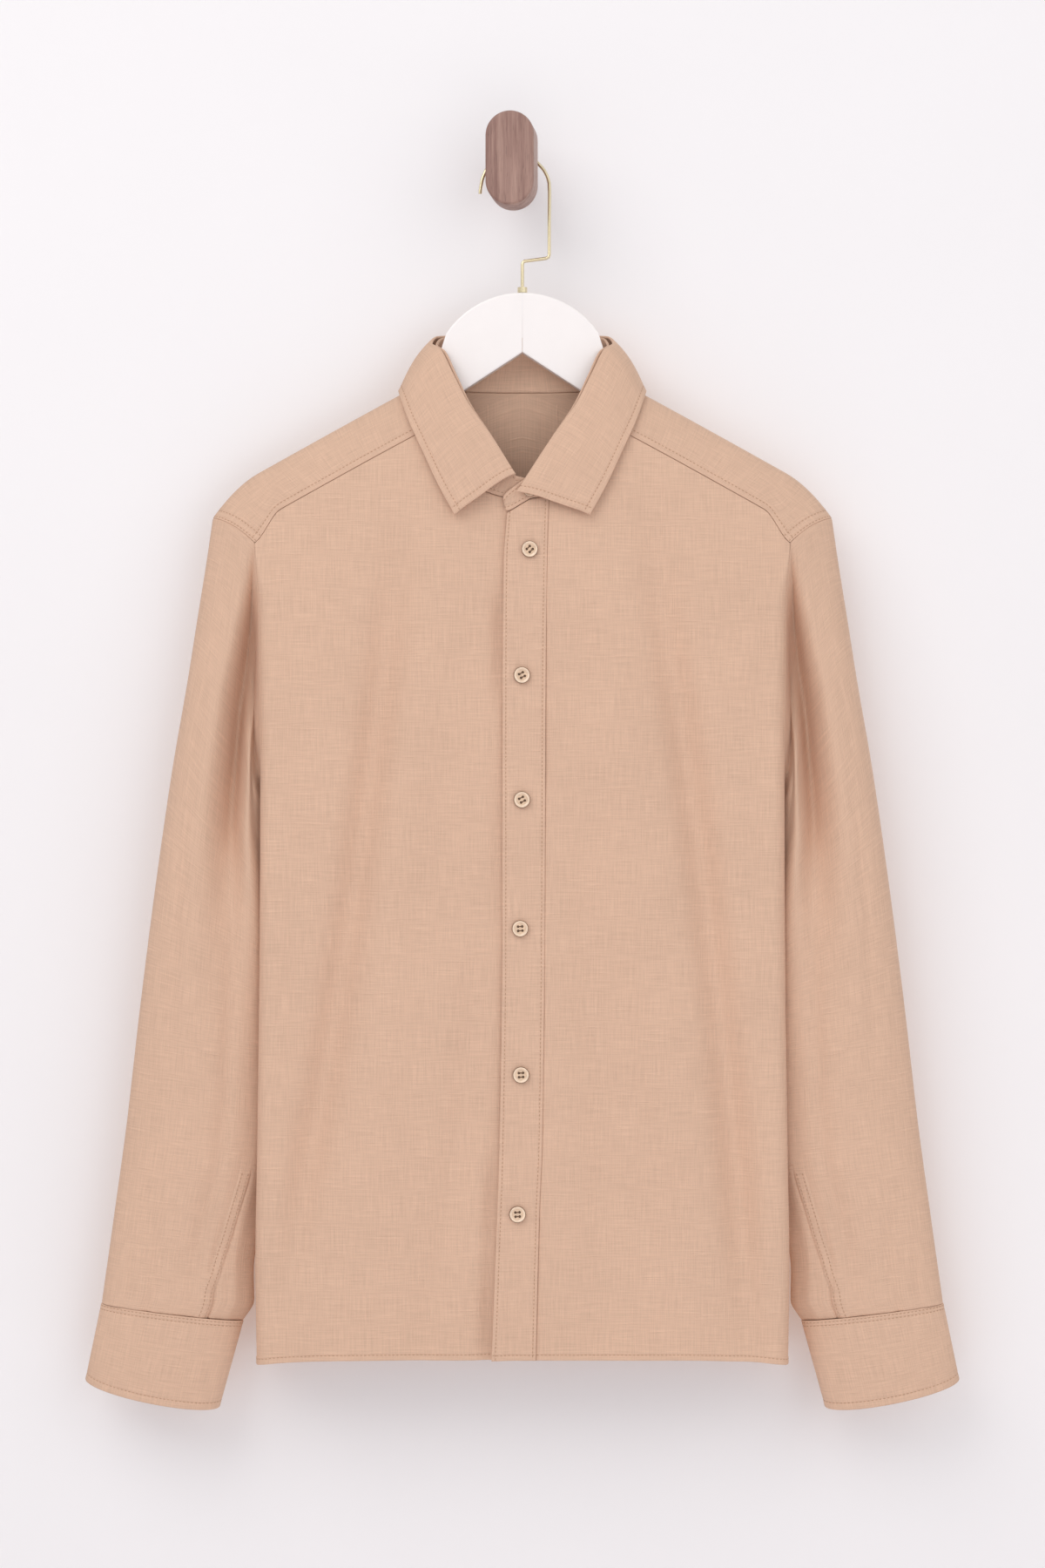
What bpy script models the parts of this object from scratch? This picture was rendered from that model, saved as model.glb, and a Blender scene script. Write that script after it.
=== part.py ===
"""A linen shirt, buttoned, on a hanger that hangs from a wall peg.

Metres, +Z up.  The front faces -Y and the wall is the plane Y = 0.  The peg's stem is centred
on the origin.  Shirt and hanger are modelled about their own upright axis: `across` is the
distance from that axis, `z` is the height above the middle of the peg's head, and every mesh is
moved by AXIS_AT at the end.  Right and left are the wearer's, so right is -X.
"""

import math

import bmesh
import bpy
import numpy as np
from mathutils import Matrix, Vector

# ---------------------------------------------------------------- driving dimensions

CLOTH = 0.0012            # panels and sleeves
FIRM_CLOTH = 0.0020       # collar, placket and cuffs, which are stiffened
SEAM_PULL = 0.00025       # each piece stops this far short of its seam line
GAP = 0.0003              # between two surfaces that rest on each other

AXIS_AT = Vector((0.0080, 0.0, 0.0062))
MID_Y = -0.045            # plane of hook, hanger and shoulder ridge
FRONT_DEPTH = 0.034       # front of the body ahead of that plane
BACK_DEPTH = 0.029        # back of the body behind it
DEPTH_FALL = 0.090        # drop below the ridge over which the body reaches its depth

SHOULDER_SLOPE = 0.565    # the hanger's arms
NECK_POINT = (0.093, -0.178)
RIDGE_DROOP_AT = 0.199    # past the hanger's end the cloth falls more steeply
SHOULDER_END = 0.2337
RIDGE_DROOP = 12.0        # droop in metres for each square metre past the hanger's end

NECK_HALF_WIDTH = 0.076   # neck seam at the shoulder ridge
NECK_BACK_Z = -0.174
NECK_FRONT_Z = -0.258

YOKE_FRONT_DROP = 0.038   # front yoke seam under the ridge
YOKE_CORNER_DROP = 0.0525
YOKE_CORNER = 0.201
YOKE_BACK_Z = -0.276
YOKE_BACK_BOW = 0.60      # the back seam's sag, per metre of half width squared
YOKE_BACK_CORNER = 0.2012

ARMPIT_Z = -0.466
ARMHOLE_CURL = 0.034      # height over which the armhole rounds in to the armpit
HEM_Z = -0.9020
HEM_CORNER_DIP = 0.0050
EDGE_ROUND = 0.010        # radius of the body's front and back side folds
EDGE_CRISP = 0.0006       # the same at the yoke's corners, where the sheet runs on to the seam
EDGE_TURN = math.radians(75.0)   # how far round that fold the armhole seam lies

# half width of the body, and how far its side seam is tucked in
BODY_WIDTHS = (
    # z, half_width, side_tuck
    (-0.291, 0.2014, 0.000),
    (-0.330, 0.1983, 0.003),
    (-0.400, 0.1970, 0.006),
    (-0.466, 0.1965, 0.009),
    (-0.520, 0.1965, 0.014),
    (-0.740, 0.1985, 0.014),
    (-0.830, 0.2000, 0.008),
    (-0.910, 0.1990, 0.004),
)

# placket edges, which drift to the wearer's right on the way down
PLACKET_EDGES = (
    # z, free_edge, seam
    (-0.258, -0.0115, 0.0200),
    (-0.295, -0.0140, 0.0188),
    (-0.390, -0.0148, 0.0176),
    (-0.579, -0.0150, 0.0168),
    (-0.738, -0.0172, 0.0150),
    (-0.792, -0.0190, 0.0128),
    (-0.905, -0.0232, 0.0100),
)
UNDER_BAND = 0.0040       # the right front ends this far short of the placket seam

# soft folds of the fronts: a trough (or a swell, where depth is below zero) along a line
FRONT_FOLDS = (
    # side, top_across, top_z, foot_across, foot_z, width, depth
    (-1, 0.098, -0.330, 0.180, -0.830, 0.022, 0.0040),
    (1, 0.104, -0.330, 0.188, -0.875, 0.024, 0.0040),
    (-1, 0.060, -0.300, 0.120, -0.860, 0.030, -0.0022),
    (1, 0.062, -0.320, 0.128, -0.800, 0.032, -0.0022),
)
FOLD_FADE_IN = (-0.060, 0.060)     # drop below a fold's top over which it comes in
FOLD_FADE_OUT = (-0.020, 0.090)    # and below its foot over which it goes out


# ---------------------------------------------------------------- small helpers

def smoothstep(low, high, value):
    """0 below `low`, 1 above `high`, with an easy curve between."""
    t = np.clip((value - low) / (high - low), 0.0, 1.0)
    return t * t * (3.0 - 2.0 * t)


def column(table, key, wanted, at):
    """Value of the `wanted` column where the `key` column is `at`, by a monotone cubic."""
    rows = sorted((row[key], row[wanted]) for row in table)
    knots = np.array([row[0] for row in rows])
    values = np.array([row[1] for row in rows])
    steps = np.diff(knots)
    rates = np.diff(values) / steps
    slopes = np.zeros(len(knots))
    slopes[0] = rates[0]
    slopes[-1] = rates[-1]
    same_way = rates[:-1] * rates[1:] > 0.0
    safe = np.where(same_way, rates[:-1] + rates[1:], 1.0)
    slopes[1:-1] = np.where(same_way, 2.0 * rates[:-1] * rates[1:] / safe, 0.0)
    at = np.clip(at, knots[0], knots[-1])
    index = np.clip(np.searchsorted(knots, at) - 1, 0, len(steps) - 1)
    t = (at - knots[index]) / steps[index]
    span = steps[index]
    return (
        values[index] * (1.0 + 2.0 * t) * (1.0 - t) ** 2
        + slopes[index] * span * t * (1.0 - t) ** 2
        + values[index + 1] * t * t * (3.0 - 2.0 * t)
        - slopes[index + 1] * span * t * t * (1.0 - t)
    )


# ---------------------------------------------------------------- the body's surface

NECK_SOFTNESS = 0.030     # how widely the ridge rounds over inside the neck
FRONT_EDGE_FALL = 0.13    # share of its depth that the body loses towards its sides


def ridge_z(across):
    """Height of the shoulder ridge at a distance from the axis."""
    reach = np.hypot(across, NECK_SOFTNESS) - math.hypot(NECK_POINT[0], NECK_SOFTNESS)
    droop = RIDGE_DROOP * np.clip(across - RIDGE_DROOP_AT, 0.0, None) ** 2
    return NECK_POINT[1] - SHOULDER_SLOPE * reach - droop


def fold_relief(side, across, z):
    """How far the front is pushed back by its soft folds."""
    relief = np.zeros(np.broadcast(across, z).shape)
    for fold_side, top_across, top_z, foot_across, foot_z, width, depth in FRONT_FOLDS:
        if fold_side != side:
            continue
        along = np.clip((top_z - z) / (top_z - foot_z), 0.0, 1.0)
        line = top_across + (foot_across - top_across) * along
        fade_in = smoothstep(*FOLD_FADE_IN, top_z - z)
        fade_out = 1.0 - smoothstep(*FOLD_FADE_OUT, foot_z - z)
        relief = relief + depth * np.exp(-((across - line) / width) ** 2) * fade_in * fade_out
    return relief


def face_y(face, side, across, z):
    """Depth of the front (face -1) or back (face 1) sheet."""
    drop = np.clip(ridge_z(across) - z, 0.0, None)
    reach = np.sqrt(1.0 - np.exp(-drop / DEPTH_FALL))
    flatness = 1.0 - FRONT_EDGE_FALL * (across / 0.2) ** 4
    if face < 0:
        return MID_Y - FRONT_DEPTH * flatness * reach + fold_relief(side, across, z)
    return MID_Y + BACK_DEPTH * flatness * reach


def side_section(face, side, z):
    """Where the flat sheet ends at a height, and its fold radius, seam limits and tuck."""
    half_width = column(BODY_WIDTHS, 0, 1, z)
    tuck = column(BODY_WIDTHS, 0, 2, z)
    radius = EDGE_CRISP + (EDGE_ROUND - EDGE_CRISP) * smoothstep(0.2915, 0.345, -z)
    flat = half_width - radius
    edge_y = face_y(face, side, flat, z)
    wall = np.abs(MID_Y - edge_y) - radius
    at_armhole = flat + radius * EDGE_TURN
    at_side = flat + radius * math.pi / 2 + wall
    rise = np.clip((z - ARMPIT_Z) / ARMHOLE_CURL, 0.0, 1.0)
    limit = at_side - (at_side - at_armhole) * np.sqrt(1.0 - (1.0 - rise) ** 2)
    return half_width, tuck, radius, flat, edge_y, wall, limit


def body_points(face, side, path, z):
    """Points of the body at a path length from the axis: sheet, side fold, then side wall."""
    half_width, tuck, radius, flat, edge_y, wall, _ = side_section(face, side, z)
    turn = np.clip((path - flat) / radius, 0.0, math.pi / 2)
    inward = np.clip((path - flat - radius * math.pi / 2) / wall, 0.0, 1.0)
    on_sheet = path <= flat
    across = np.where(on_sheet, path, flat + radius * np.sin(turn))
    across = across - tuck * smoothstep(0.0, 1.0, inward)
    folded_y = edge_y - face * (radius * (1.0 - np.cos(turn)) + wall * inward)
    y = np.where(on_sheet, face_y(face, side, across, z), folded_y)
    return np.stack([side * across, y, z], axis=-1)


# ---------------------------------------------------------------- seam lines

NECK_MID_Z = -0.174       # the neck seam's widest height, on the front


def neck_front_z(across):
    """Height of the front neck seam."""
    share = np.clip(across / NECK_HALF_WIDTH, 0.0, 1.0)
    return NECK_MID_Z - (NECK_MID_Z - NECK_FRONT_Z) * np.sqrt(1.0 - share ** 2)


def neck_front_across(z):
    """Distance of the front neck seam from the axis at a height."""
    below = np.clip((NECK_MID_Z - z) / (NECK_MID_Z - NECK_FRONT_Z), 0.0, 1.0)
    return NECK_HALF_WIDTH * np.sqrt(1.0 - below ** 2)


def neck_back_z(across):
    """Height of the back neck seam, which meets the ridge at the shoulder."""
    share = np.clip(across / NECK_HALF_WIDTH, 0.0, 1.0)
    return NECK_BACK_Z + (ridge_z(NECK_HALF_WIDTH) - NECK_BACK_Z) * share ** 4


def yoke_front_drop(across):
    """Drop of the front yoke seam below the ridge, deeper where the sleeve pulls it."""
    pull = smoothstep(0.182, YOKE_CORNER, across)
    return YOKE_FRONT_DROP + (YOKE_CORNER_DROP - YOKE_FRONT_DROP) * pull


def yoke_back_drop(across):
    """Drop of the back yoke seam below the ridge."""
    return ridge_z(across) - YOKE_BACK_Z + YOKE_BACK_BOW * across ** 2


def front_top_z(across):
    """Top of a front: the neck seam, then the yoke seam."""
    yoke_seam = ridge_z(across) - yoke_front_drop(across)
    in_neck = np.minimum(neck_front_z(across), yoke_seam)
    return np.where(across < NECK_HALF_WIDTH, in_neck, yoke_seam)


def crossing(function, low, high):
    """Where a rising function crosses zero, by halving."""
    for _ in range(40):
        middle = (low + high) / 2.0
        if function(middle) < 0.0:
            low = middle
        else:
            high = middle
    return (low + high) / 2.0


def yoke_meets_neck():
    """Distance from the axis at which the front yoke seam meets the neck seam."""
    def rise(across):
        """Height of the neck seam over the yoke seam."""
        return neck_front_z(across) - ridge_z(across) + YOKE_FRONT_DROP
    return crossing(rise, 0.060, NECK_HALF_WIDTH)


def placket_top_z(across):
    """Top of the placket, which follows the stand's slanting lower edge past the centre."""
    start = neck_seam(1.0)[0]
    slant = (STAND_LOW_END[1] - neck_front_z(start)) / (STAND_LOW_END[0] - start)
    past_centre = neck_front_z(start) + (across - start) * slant
    return np.where(across < start, past_centre, neck_front_z(np.abs(across)))


def hem_z(across):
    """Height of the hem, which dips at the side seams."""
    return HEM_Z - HEM_CORNER_DIP * (across / 0.2) ** 6


# ---------------------------------------------------------------- meshes

def pulled_in(grid, edges, pull=SEAM_PULL):
    """Draw the named edge rows of a grid of points back from their seams."""
    grid = grid.copy()
    for edge in edges:
        index, beside = {
            "top": ((0,), (1,)),
            "bottom": ((-1,), (-2,)),
            "left": ((slice(None), 0), (slice(None), 1)),
            "right": ((slice(None), -1), (slice(None), -2)),
        }[edge]
        step = grid[beside] - grid[index]
        length = np.linalg.norm(step, axis=-1, keepdims=True)
        grid[index] = grid[index] + step / length * pull
    return grid


def material(name, colour, roughness, metallic=0.0):
    """A plain Principled material."""
    made = bpy.data.materials.new(name)
    made.use_nodes = True
    shader = made.node_tree.nodes["Principled BSDF"]
    shader.inputs["Base Color"].default_value = (*colour, 1.0)
    shader.inputs["Roughness"].default_value = roughness
    shader.inputs["Metallic"].default_value = metallic
    return made


def mesh_object(name, points, faces, finish, merge=0.0):
    """An object made from points about the shirt's axis, moved to where the shirt hangs."""
    body = bmesh.new()
    corners = [body.verts.new(Vector(point)) for point in points]
    for face in faces:
        body.faces.new([corners[index] for index in face])
    if merge > 0.0:
        bmesh.ops.remove_doubles(body, verts=body.verts, dist=merge)
    bmesh.ops.recalc_face_normals(body, faces=body.faces)
    mesh = bpy.data.meshes.new(name)
    body.to_mesh(mesh)
    body.free()
    mesh.materials.append(finish)
    made = bpy.data.objects.new(name, mesh)
    made.location = AXIS_AT
    bpy.context.scene.collection.objects.link(made)
    return made


def grid_faces(rows, columns, wrap=False, start=0):
    """Quads of a grid, closed round its columns where it is a tube."""
    faces = []
    for row in range(rows - 1):
        for col in range(columns if wrap else columns - 1):
            beside = (col + 1) % columns
            faces.append((
                start + row * columns + col,
                start + row * columns + beside,
                start + (row + 1) * columns + beside,
                start + (row + 1) * columns + col,
            ))
    return faces


def cloth(name, grids, thickness, finish, wrap=False, merge=0.0):
    """A cloth wall, half its thickness to each side of one or more grids of points."""
    points = []
    faces = []
    for grid in grids:
        rows, columns = grid.shape[:2]
        faces += grid_faces(rows, columns, wrap, len(points))
        points += [tuple(point) for point in grid.reshape(-1, 3)]
    made = mesh_object(name, points, faces, finish, merge)
    wall = made.modifiers.new("thickness", "SOLIDIFY")
    wall.thickness = thickness
    wall.offset = 0.0
    return made


# ---------------------------------------------------------------- fronts, back and yoke

NECK_COLUMNS = 6          # across a front's neck edge
SHOULDER_COLUMNS = 4      # and on to its side fold
FOLD_COLUMNS = 6          # round that fold
BACK_COLUMNS = 6          # across half the flat of the back
SIDE_PULL = 0.00045       # side seams and armholes, where the cloth meets at an angle
ROWS_BY_ARMHOLE = 8
ROWS_BELOW = 9
OVERLAP_LIFT = 0.00078    # each front's shift from the common sheet where the two overlap
LIFT_FADE = (0.022, 0.070)


def row_shares(top_z, rows_above, rows_below):
    """Shares of a panel's height, with one row exactly at the armpit."""
    to_armpit = (top_z - ARMPIT_Z) / (top_z - hem_z(0.2))
    above = (1.0 - np.cos(np.linspace(0.0, math.pi, rows_above + 1))) / 2.0 * to_armpit
    below = np.linspace(to_armpit, 1.0, rows_below + 1)
    return np.concatenate([above, below[1:]])


def panel_grid(face, side, inner_edge, top_z_at, on_sheet):
    """Grid of a front or of half the back: rows down, columns from the inner edge to the side."""
    z_corner = top_z_at(YOKE_CORNER)
    on_fold = np.linspace(0.0, 1.0, FOLD_COLUMNS + 1)[1:]
    shares = row_shares(z_corner, ROWS_BY_ARMHOLE, ROWS_BELOW)

    def path_at(z):
        """Path lengths of a row's columns, each at its own height."""
        _, _, _, flat, _, _, limit = side_section(face, side, z)
        start = inner_edge(z)
        sheet = start[:len(on_sheet)] + (flat - start)[:len(on_sheet)] * on_sheet
        fold = flat[len(on_sheet):] + (limit - flat)[len(on_sheet):] * on_fold
        return np.concatenate([sheet, fold])

    count = len(on_sheet) + len(on_fold)
    top_path = path_at(np.full(count, z_corner))
    top = top_z_at(np.minimum(np.abs(top_path), YOKE_CORNER))
    top_path = path_at(top)
    foot = hem_z(np.abs(path_at(np.full(count, HEM_Z))).clip(0.0, 0.2))
    rows = []
    for share in shares:
        z = top + (foot - top) * share
        rows.append(body_points(face, side, path_at(z), z))
    return np.array(rows)


def sheet_lift(across):
    """How far the fronts part near the buttons, so that one lies on the other."""
    return OVERLAP_LIFT * (1.0 - smoothstep(*LIFT_FADE, across))


def make_front(name, side, finish):
    """One front, from its edge at the placket to the armhole and the side seam."""

    def inner_edge(z):
        """Distance from the axis of the front's edge at the placket."""
        seam = column(PLACKET_EDGES, 0, 2, z)
        return seam if side > 0 else UNDER_BAND - seam

    start = float(inner_edge(np.float64(NECK_FRONT_Z)))
    neck_share = (yoke_meets_neck() - start) / (YOKE_CORNER - start)
    on_sheet = np.concatenate([
        neck_share * np.sin(np.linspace(0.0, math.pi / 2, NECK_COLUMNS + 1)),
        np.linspace(neck_share, 1.0, SHOULDER_COLUMNS + 1)[1:],
    ])
    grid = panel_grid(-1, side, inner_edge, front_top_z, on_sheet)
    grid[..., 1] -= side * sheet_lift(np.abs(grid[..., 0]))
    grid = pulled_in(pulled_in(grid, ("top", "left")), ("right",), SIDE_PULL)
    cloth(name, [grid], CLOTH, finish)


PLACKET_ROWS = 20
PLACKET_COLUMNS = 2
YOKE_COLUMNS = 9
YOKE_FRONT_LIFTS = (0.0, 0.45, 0.75, 0.92)

# rows of the yoke behind the ridge
YOKE_BACK_ROWS = (
    # start_across, share of the way down the centre back, share of the way down the armhole
    (0.076, 0.00, 0.00),
    (0.072, 0.00, 0.05),
    (0.062, 0.00, 0.16),
    (0.044, 0.00, 0.31),
    (0.022, 0.00, 0.45),
    (0.000, 0.00, 0.58),
    (0.000, 0.33, 0.72),
    (0.000, 0.66, 0.86),
    (0.000, 1.00, 1.00),
)


def make_placket(finish):
    """The band with the buttonholes, over the right front's edge."""
    heights = np.linspace(0.0, 1.0, PLACKET_ROWS + 1)
    widths = np.linspace(0.0, 1.0, PLACKET_COLUMNS + 1)
    rows = []
    for share in heights:
        z = NECK_FRONT_Z + (HEM_Z - NECK_FRONT_Z) * share
        free_edge = column(PLACKET_EDGES, 0, 1, z)
        across = free_edge + (column(PLACKET_EDGES, 0, 2, z) - free_edge) * widths
        z = placket_top_z(across) + (HEM_Z - placket_top_z(across)) * share
        y = face_y(-1, 1, across, z) - OVERLAP_LIFT - (FIRM_CLOTH - CLOTH) / 2.0
        rows.append(np.stack([across, y, z], axis=-1))
    grid = np.array(rows)
    cloth("front_placket", [pulled_in(grid, ("top", "right"))], FIRM_CLOTH, finish)


def back_top_z(across):
    """Height of the back yoke seam."""
    return ridge_z(across) - yoke_back_drop(across)


def make_back(finish):
    """The back, in one piece from armhole to armhole."""
    halves = []
    for side in (-1, 1):
        on_sheet = np.linspace(0.0, 1.0, BACK_COLUMNS + 1)
        grid = panel_grid(1, side, np.zeros_like, back_top_z, on_sheet)
        halves.append(pulled_in(pulled_in(grid, ("top",)), ("right",), SIDE_PULL))
    cloth("back", halves, CLOTH, finish, merge=1e-6)


def ridge_point(side, across, drop):
    """A point of the yoke: a drop below the ridge, to the front where it is negative."""
    z = ridge_z(across) - np.abs(drop)
    y = np.where(drop < 0.0, face_y(-1, 0, across, z), face_y(1, 0, across, z))
    return np.stack([side * across, y, z], axis=-1)


def yoke_rows():
    """Across and drop of the yoke's rows, from the front seam over the ridge to the back seam."""
    shares = np.linspace(0.0, 1.0, YOKE_COLUMNS + 1)
    meet = yoke_meets_neck()
    rows = []
    for lift in YOKE_FRONT_LIFTS:
        start_z = neck_front_z(meet) + (ridge_z(NECK_HALF_WIDTH) - neck_front_z(meet)) * lift
        start = neck_front_across(start_z)
        start_drop = start_z - ridge_z(start)
        end = YOKE_CORNER + (SHOULDER_END - YOKE_CORNER) * lift
        end_drop = -YOKE_CORNER_DROP * (1.0 - lift)
        across = start + (end - start) * shares
        drop = -yoke_front_drop(across) * (1.0 - lift)
        drop = drop + (start_drop - drop[0]) * (1.0 - shares) + (end_drop - drop[-1]) * shares
        rows.append((across, drop))
    for start, start_share, end_share in YOKE_BACK_ROWS:
        start_drop = ridge_z(start) - neck_back_z(start)
        start_drop = start_drop + (yoke_back_drop(0.0) - start_drop) * start_share
        end = SHOULDER_END + (YOKE_BACK_CORNER - SHOULDER_END) * end_share
        end_drop = yoke_back_drop(YOKE_BACK_CORNER) * end_share
        across = start + (end - start) * shares
        drop = yoke_back_drop(across) * end_share
        drop = drop + (start_drop - drop[0]) * (1.0 - shares) + (end_drop - drop[-1]) * shares
        rows.append((across, drop))
    return rows


def make_yoke(finish):
    """The shoulder yoke, in one piece behind the neck."""
    halves = []
    for side in (-1, 1):
        grid = np.array([ridge_point(side, *row) for row in yoke_rows()])
        neck_rows = sum(1 for row in YOKE_BACK_ROWS if row[1] == 0.0) + len(YOKE_FRONT_LIFTS)
        pulled = pulled_in(grid, ("top", "bottom", "right"))
        pulled[:neck_rows] = pulled_in(pulled[:neck_rows], ("left",))
        pulled[neck_rows - 1:, 0, 0] = 0.0
        halves.append(pulled)
    cloth("yoke", halves, CLOTH, finish, merge=1e-6)


# ---------------------------------------------------------------- sleeves and cuffs

# rings of a sleeve: each is a slanted loop from its outer end round the front to its inner end
SLEEVE_RINGS = (
    # run, outer_across, outer_z, inner_across, inner_z, front, back, valley, ridge, freed
    (0.00, 0.2337, -0.2724, 0.1875, -0.4660, 0.022, 0.020, 0.000, 0.000, 0.00),
    (0.06, 0.2385, -0.3050, 0.1875, -0.4820, 0.028, 0.025, 0.006, 0.005, 0.20),
    (0.13, 0.2450, -0.3450, 0.1875, -0.5000, 0.030, 0.026, 0.013, 0.008, 0.45),
    (0.22, 0.2530, -0.3950, 0.1870, -0.5220, 0.031, 0.026, 0.019, 0.007, 0.75),
    (0.32, 0.2640, -0.4600, 0.1865, -0.5520, 0.031, 0.026, 0.021, 0.003, 1.00),
    (0.44, 0.2770, -0.5500, 0.1865, -0.6000, 0.029, 0.025, 0.015, 0.000, 1.00),
    (0.56, 0.2885, -0.6400, 0.1865, -0.6600, 0.026, 0.023, 0.006, 0.000, 1.00),
    (0.70, 0.2990, -0.7300, 0.1880, -0.7450, 0.022, 0.021, 0.000, 0.000, 1.00),
    (0.85, 0.3080, -0.7950, 0.1960, -0.8080, 0.019, 0.019, 0.000, 0.000, 1.00),
    (1.00, 0.3177, -0.8640, 0.2120, -0.8770, 0.017, 0.017, 0.000, 0.000, 1.00),
)
SLEEVE_RUNS = (
    0.0, 0.03, 0.06, 0.10, 0.15, 0.20, 0.26, 0.32, 0.39, 0.46, 0.54, 0.63, 0.72, 0.81, 0.90, 1.0,
)
FRONT_TURNS = 12          # columns of a sleeve from its outer to its inner edge, in front
BACK_TURNS = 9
CORNER_TURN = math.radians(100.0)    # where the yoke's corner meets the sleeve head
VALLEY_TURN = math.radians(105.0)    # the deep fold below that corner
VALLEY_WIDTH = math.radians(17.0)
RIDGE_TURN = math.radians(142.0)     # the narrow swell between that fold and the body
RIDGE_WIDTH = math.radians(24.0)
BACK_VALLEY = 0.35        # the fold behind, as a share of the one in front
OUTER_FULLNESS = 0.75     # how squarely a ring rounds at its outer edge
INNER_FULLNESS = 1.6      # and how thinly it ends at its inner one
SLEEVE_PULL = 0.0006
SLEEVE_STANDOFF = 0.0014  # the sleeve head's clearance outside the body's side fold
STANDOFF_TURNS = (math.radians(60.0), math.radians(100.0))    # over which it comes in

# ends of a cuff's rings
CUFF_RINGS = (
    # run, outer_across, outer_z, inner_across, inner_z, depth, front_dip
    (0.0, 0.3177, -0.8640, 0.2120, -0.8770, 0.017, 0.0000),
    (1.0, 0.3298, -0.9220, 0.2300, -0.9420, 0.0165, 0.0055),
)
CUFF_ROWS = 3
CUFF_COLUMNS = 26
CUFF_LAP_TURN = math.radians(238.0)  # the opening, behind
CUFF_LAP = math.radians(24.0)
CUFF_LIFT = 0.00125
CUFF_LIFT_FADE = math.radians(50.0)


def armhole_points(side, turns):
    """The armhole seam: from the shoulder's end round the front to the armpit, and back."""
    points = []
    for turn in turns:
        face = -1 if turn <= math.pi else 1
        half = turn if face < 0 else 2.0 * math.pi - turn
        corner = YOKE_CORNER if face < 0 else YOKE_BACK_CORNER
        corner_drop = YOKE_CORNER_DROP if face < 0 else yoke_back_drop(YOKE_BACK_CORNER)
        if half <= CORNER_TURN:
            share = half / CORNER_TURN
            across = np.float64(SHOULDER_END + (corner - SHOULDER_END) * share)
            points.append(ridge_point(side, across, np.float64(face * corner_drop * share)))
            continue
        share = math.sin((half - CORNER_TURN) / (math.pi - CORNER_TURN) * math.pi / 2)
        corner_z = ridge_z(corner) - corner_drop
        z = np.float64(corner_z + (ARMPIT_Z - corner_z) * share)
        limit = side_section(face, side, z)[6]
        points.append(body_points(face, side, limit, z))
    return np.array(points)


def ring_profile(half_turn):
    """Fullness of a sleeve ring at a turn from its outer edge."""
    power = np.where(half_turn < math.pi / 2, OUTER_FULLNESS, INNER_FULLNESS)
    return np.clip(np.sin(half_turn), 0.0, 1.0) ** power


def sleeve_grid(side, runs, turns):
    """Grid of a sleeve: rings from the armhole down, columns round from the outer edge."""
    seam = armhole_points(side, turns)
    in_front = turns <= math.pi
    half = np.where(in_front, turns, 2.0 * math.pi - turns)
    share = (1.0 - np.cos(half)) / 2.0
    in_valley = np.exp(-((half - VALLEY_TURN) / VALLEY_WIDTH) ** 2)
    in_valley = in_valley * np.where(in_front, 1.0, -BACK_VALLEY)
    on_ridge = np.exp(-((half - RIDGE_TURN) / RIDGE_WIDTH) ** 2)
    beside = smoothstep(*STANDOFF_TURNS, half)
    first_outer = np.array(SLEEVE_RINGS[0][1:3])
    first_inner = np.array(SLEEVE_RINGS[0][3:5])
    first_line = first_outer + (first_inner - first_outer) * share[:, None]
    rows = []
    for run in runs:
        outer_across, outer_z, inner_across, inner_z, front, back, valley, ridge, freed = (
            column(SLEEVE_RINGS, 0, index, run) for index in range(1, 10)
        )
        outer = np.array([outer_across, outer_z])
        inner = np.array([inner_across, inner_z])
        line = outer + (inner - outer) * share[:, None]
        across = line[:, 0] + (1.0 - freed) * (side * seam[:, 0] - first_line[:, 0])
        z = line[:, 1] + (1.0 - freed) * (seam[:, 2] - first_line[:, 1])
        depth = np.where(in_front, -front, back)
        free_y = MID_Y + depth * ring_profile(half) + valley * in_valley
        across = across + ridge * on_ridge + SLEEVE_STANDOFF * beside * (1.0 - freed)
        y = free_y * freed + seam[:, 1] * (1.0 - freed)
        rows.append(np.stack([side * across, y, z], axis=-1))
    return np.array(rows)


def sleeve_turns():
    """Turns of a sleeve's columns, all the way round."""
    front = np.linspace(0.0, math.pi, FRONT_TURNS + 1)
    back = np.linspace(math.pi, 2.0 * math.pi, BACK_TURNS + 1)[1:-1]
    return np.concatenate([front, back])


def make_sleeve(name, side, finish):
    """A sleeve, open at the armhole and at the cuff."""
    grid = sleeve_grid(side, SLEEVE_RUNS, sleeve_turns())
    grid = pulled_in(grid, ("top",), SLEEVE_PULL)
    cloth(name, [pulled_in(grid, ("bottom",))], CLOTH, finish, wrap=True)


def cuff_grid(side, rows, columns):
    """Grid of a cuff, which laps over itself behind."""
    turns = np.linspace(0.0, 2.0 * math.pi + CUFF_LAP, columns + 1)
    rise = 1.0 - smoothstep(0.0, CUFF_LIFT_FADE, turns)
    sink = 1.0 - smoothstep(0.0, CUFF_LIFT_FADE, turns[-1] - turns)
    lift = CUFF_LIFT * (rise - sink)
    turns = turns + CUFF_LAP_TURN - CUFF_LAP / 2.0
    grid = []
    for run in np.linspace(0.0, 1.0, rows + 1):
        outer_across, outer_z, inner_across, inner_z, depth, dip = (
            column(CUFF_RINGS, 0, index, run) for index in range(1, 7)
        )
        reach = (outer_across - inner_across) / 2.0
        across = (outer_across + inner_across) / 2.0 + (reach + lift) * np.cos(turns)
        z = (outer_z + inner_z) / 2.0 + (outer_z - inner_z) / 2.0 * np.cos(turns)
        z = z - dip * np.clip(np.sin(turns), 0.0, 1.0)
        y = MID_Y - (depth + lift) * np.sin(turns)
        grid.append(np.stack([side * across, y, z], axis=-1))
    return np.array(grid)


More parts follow.
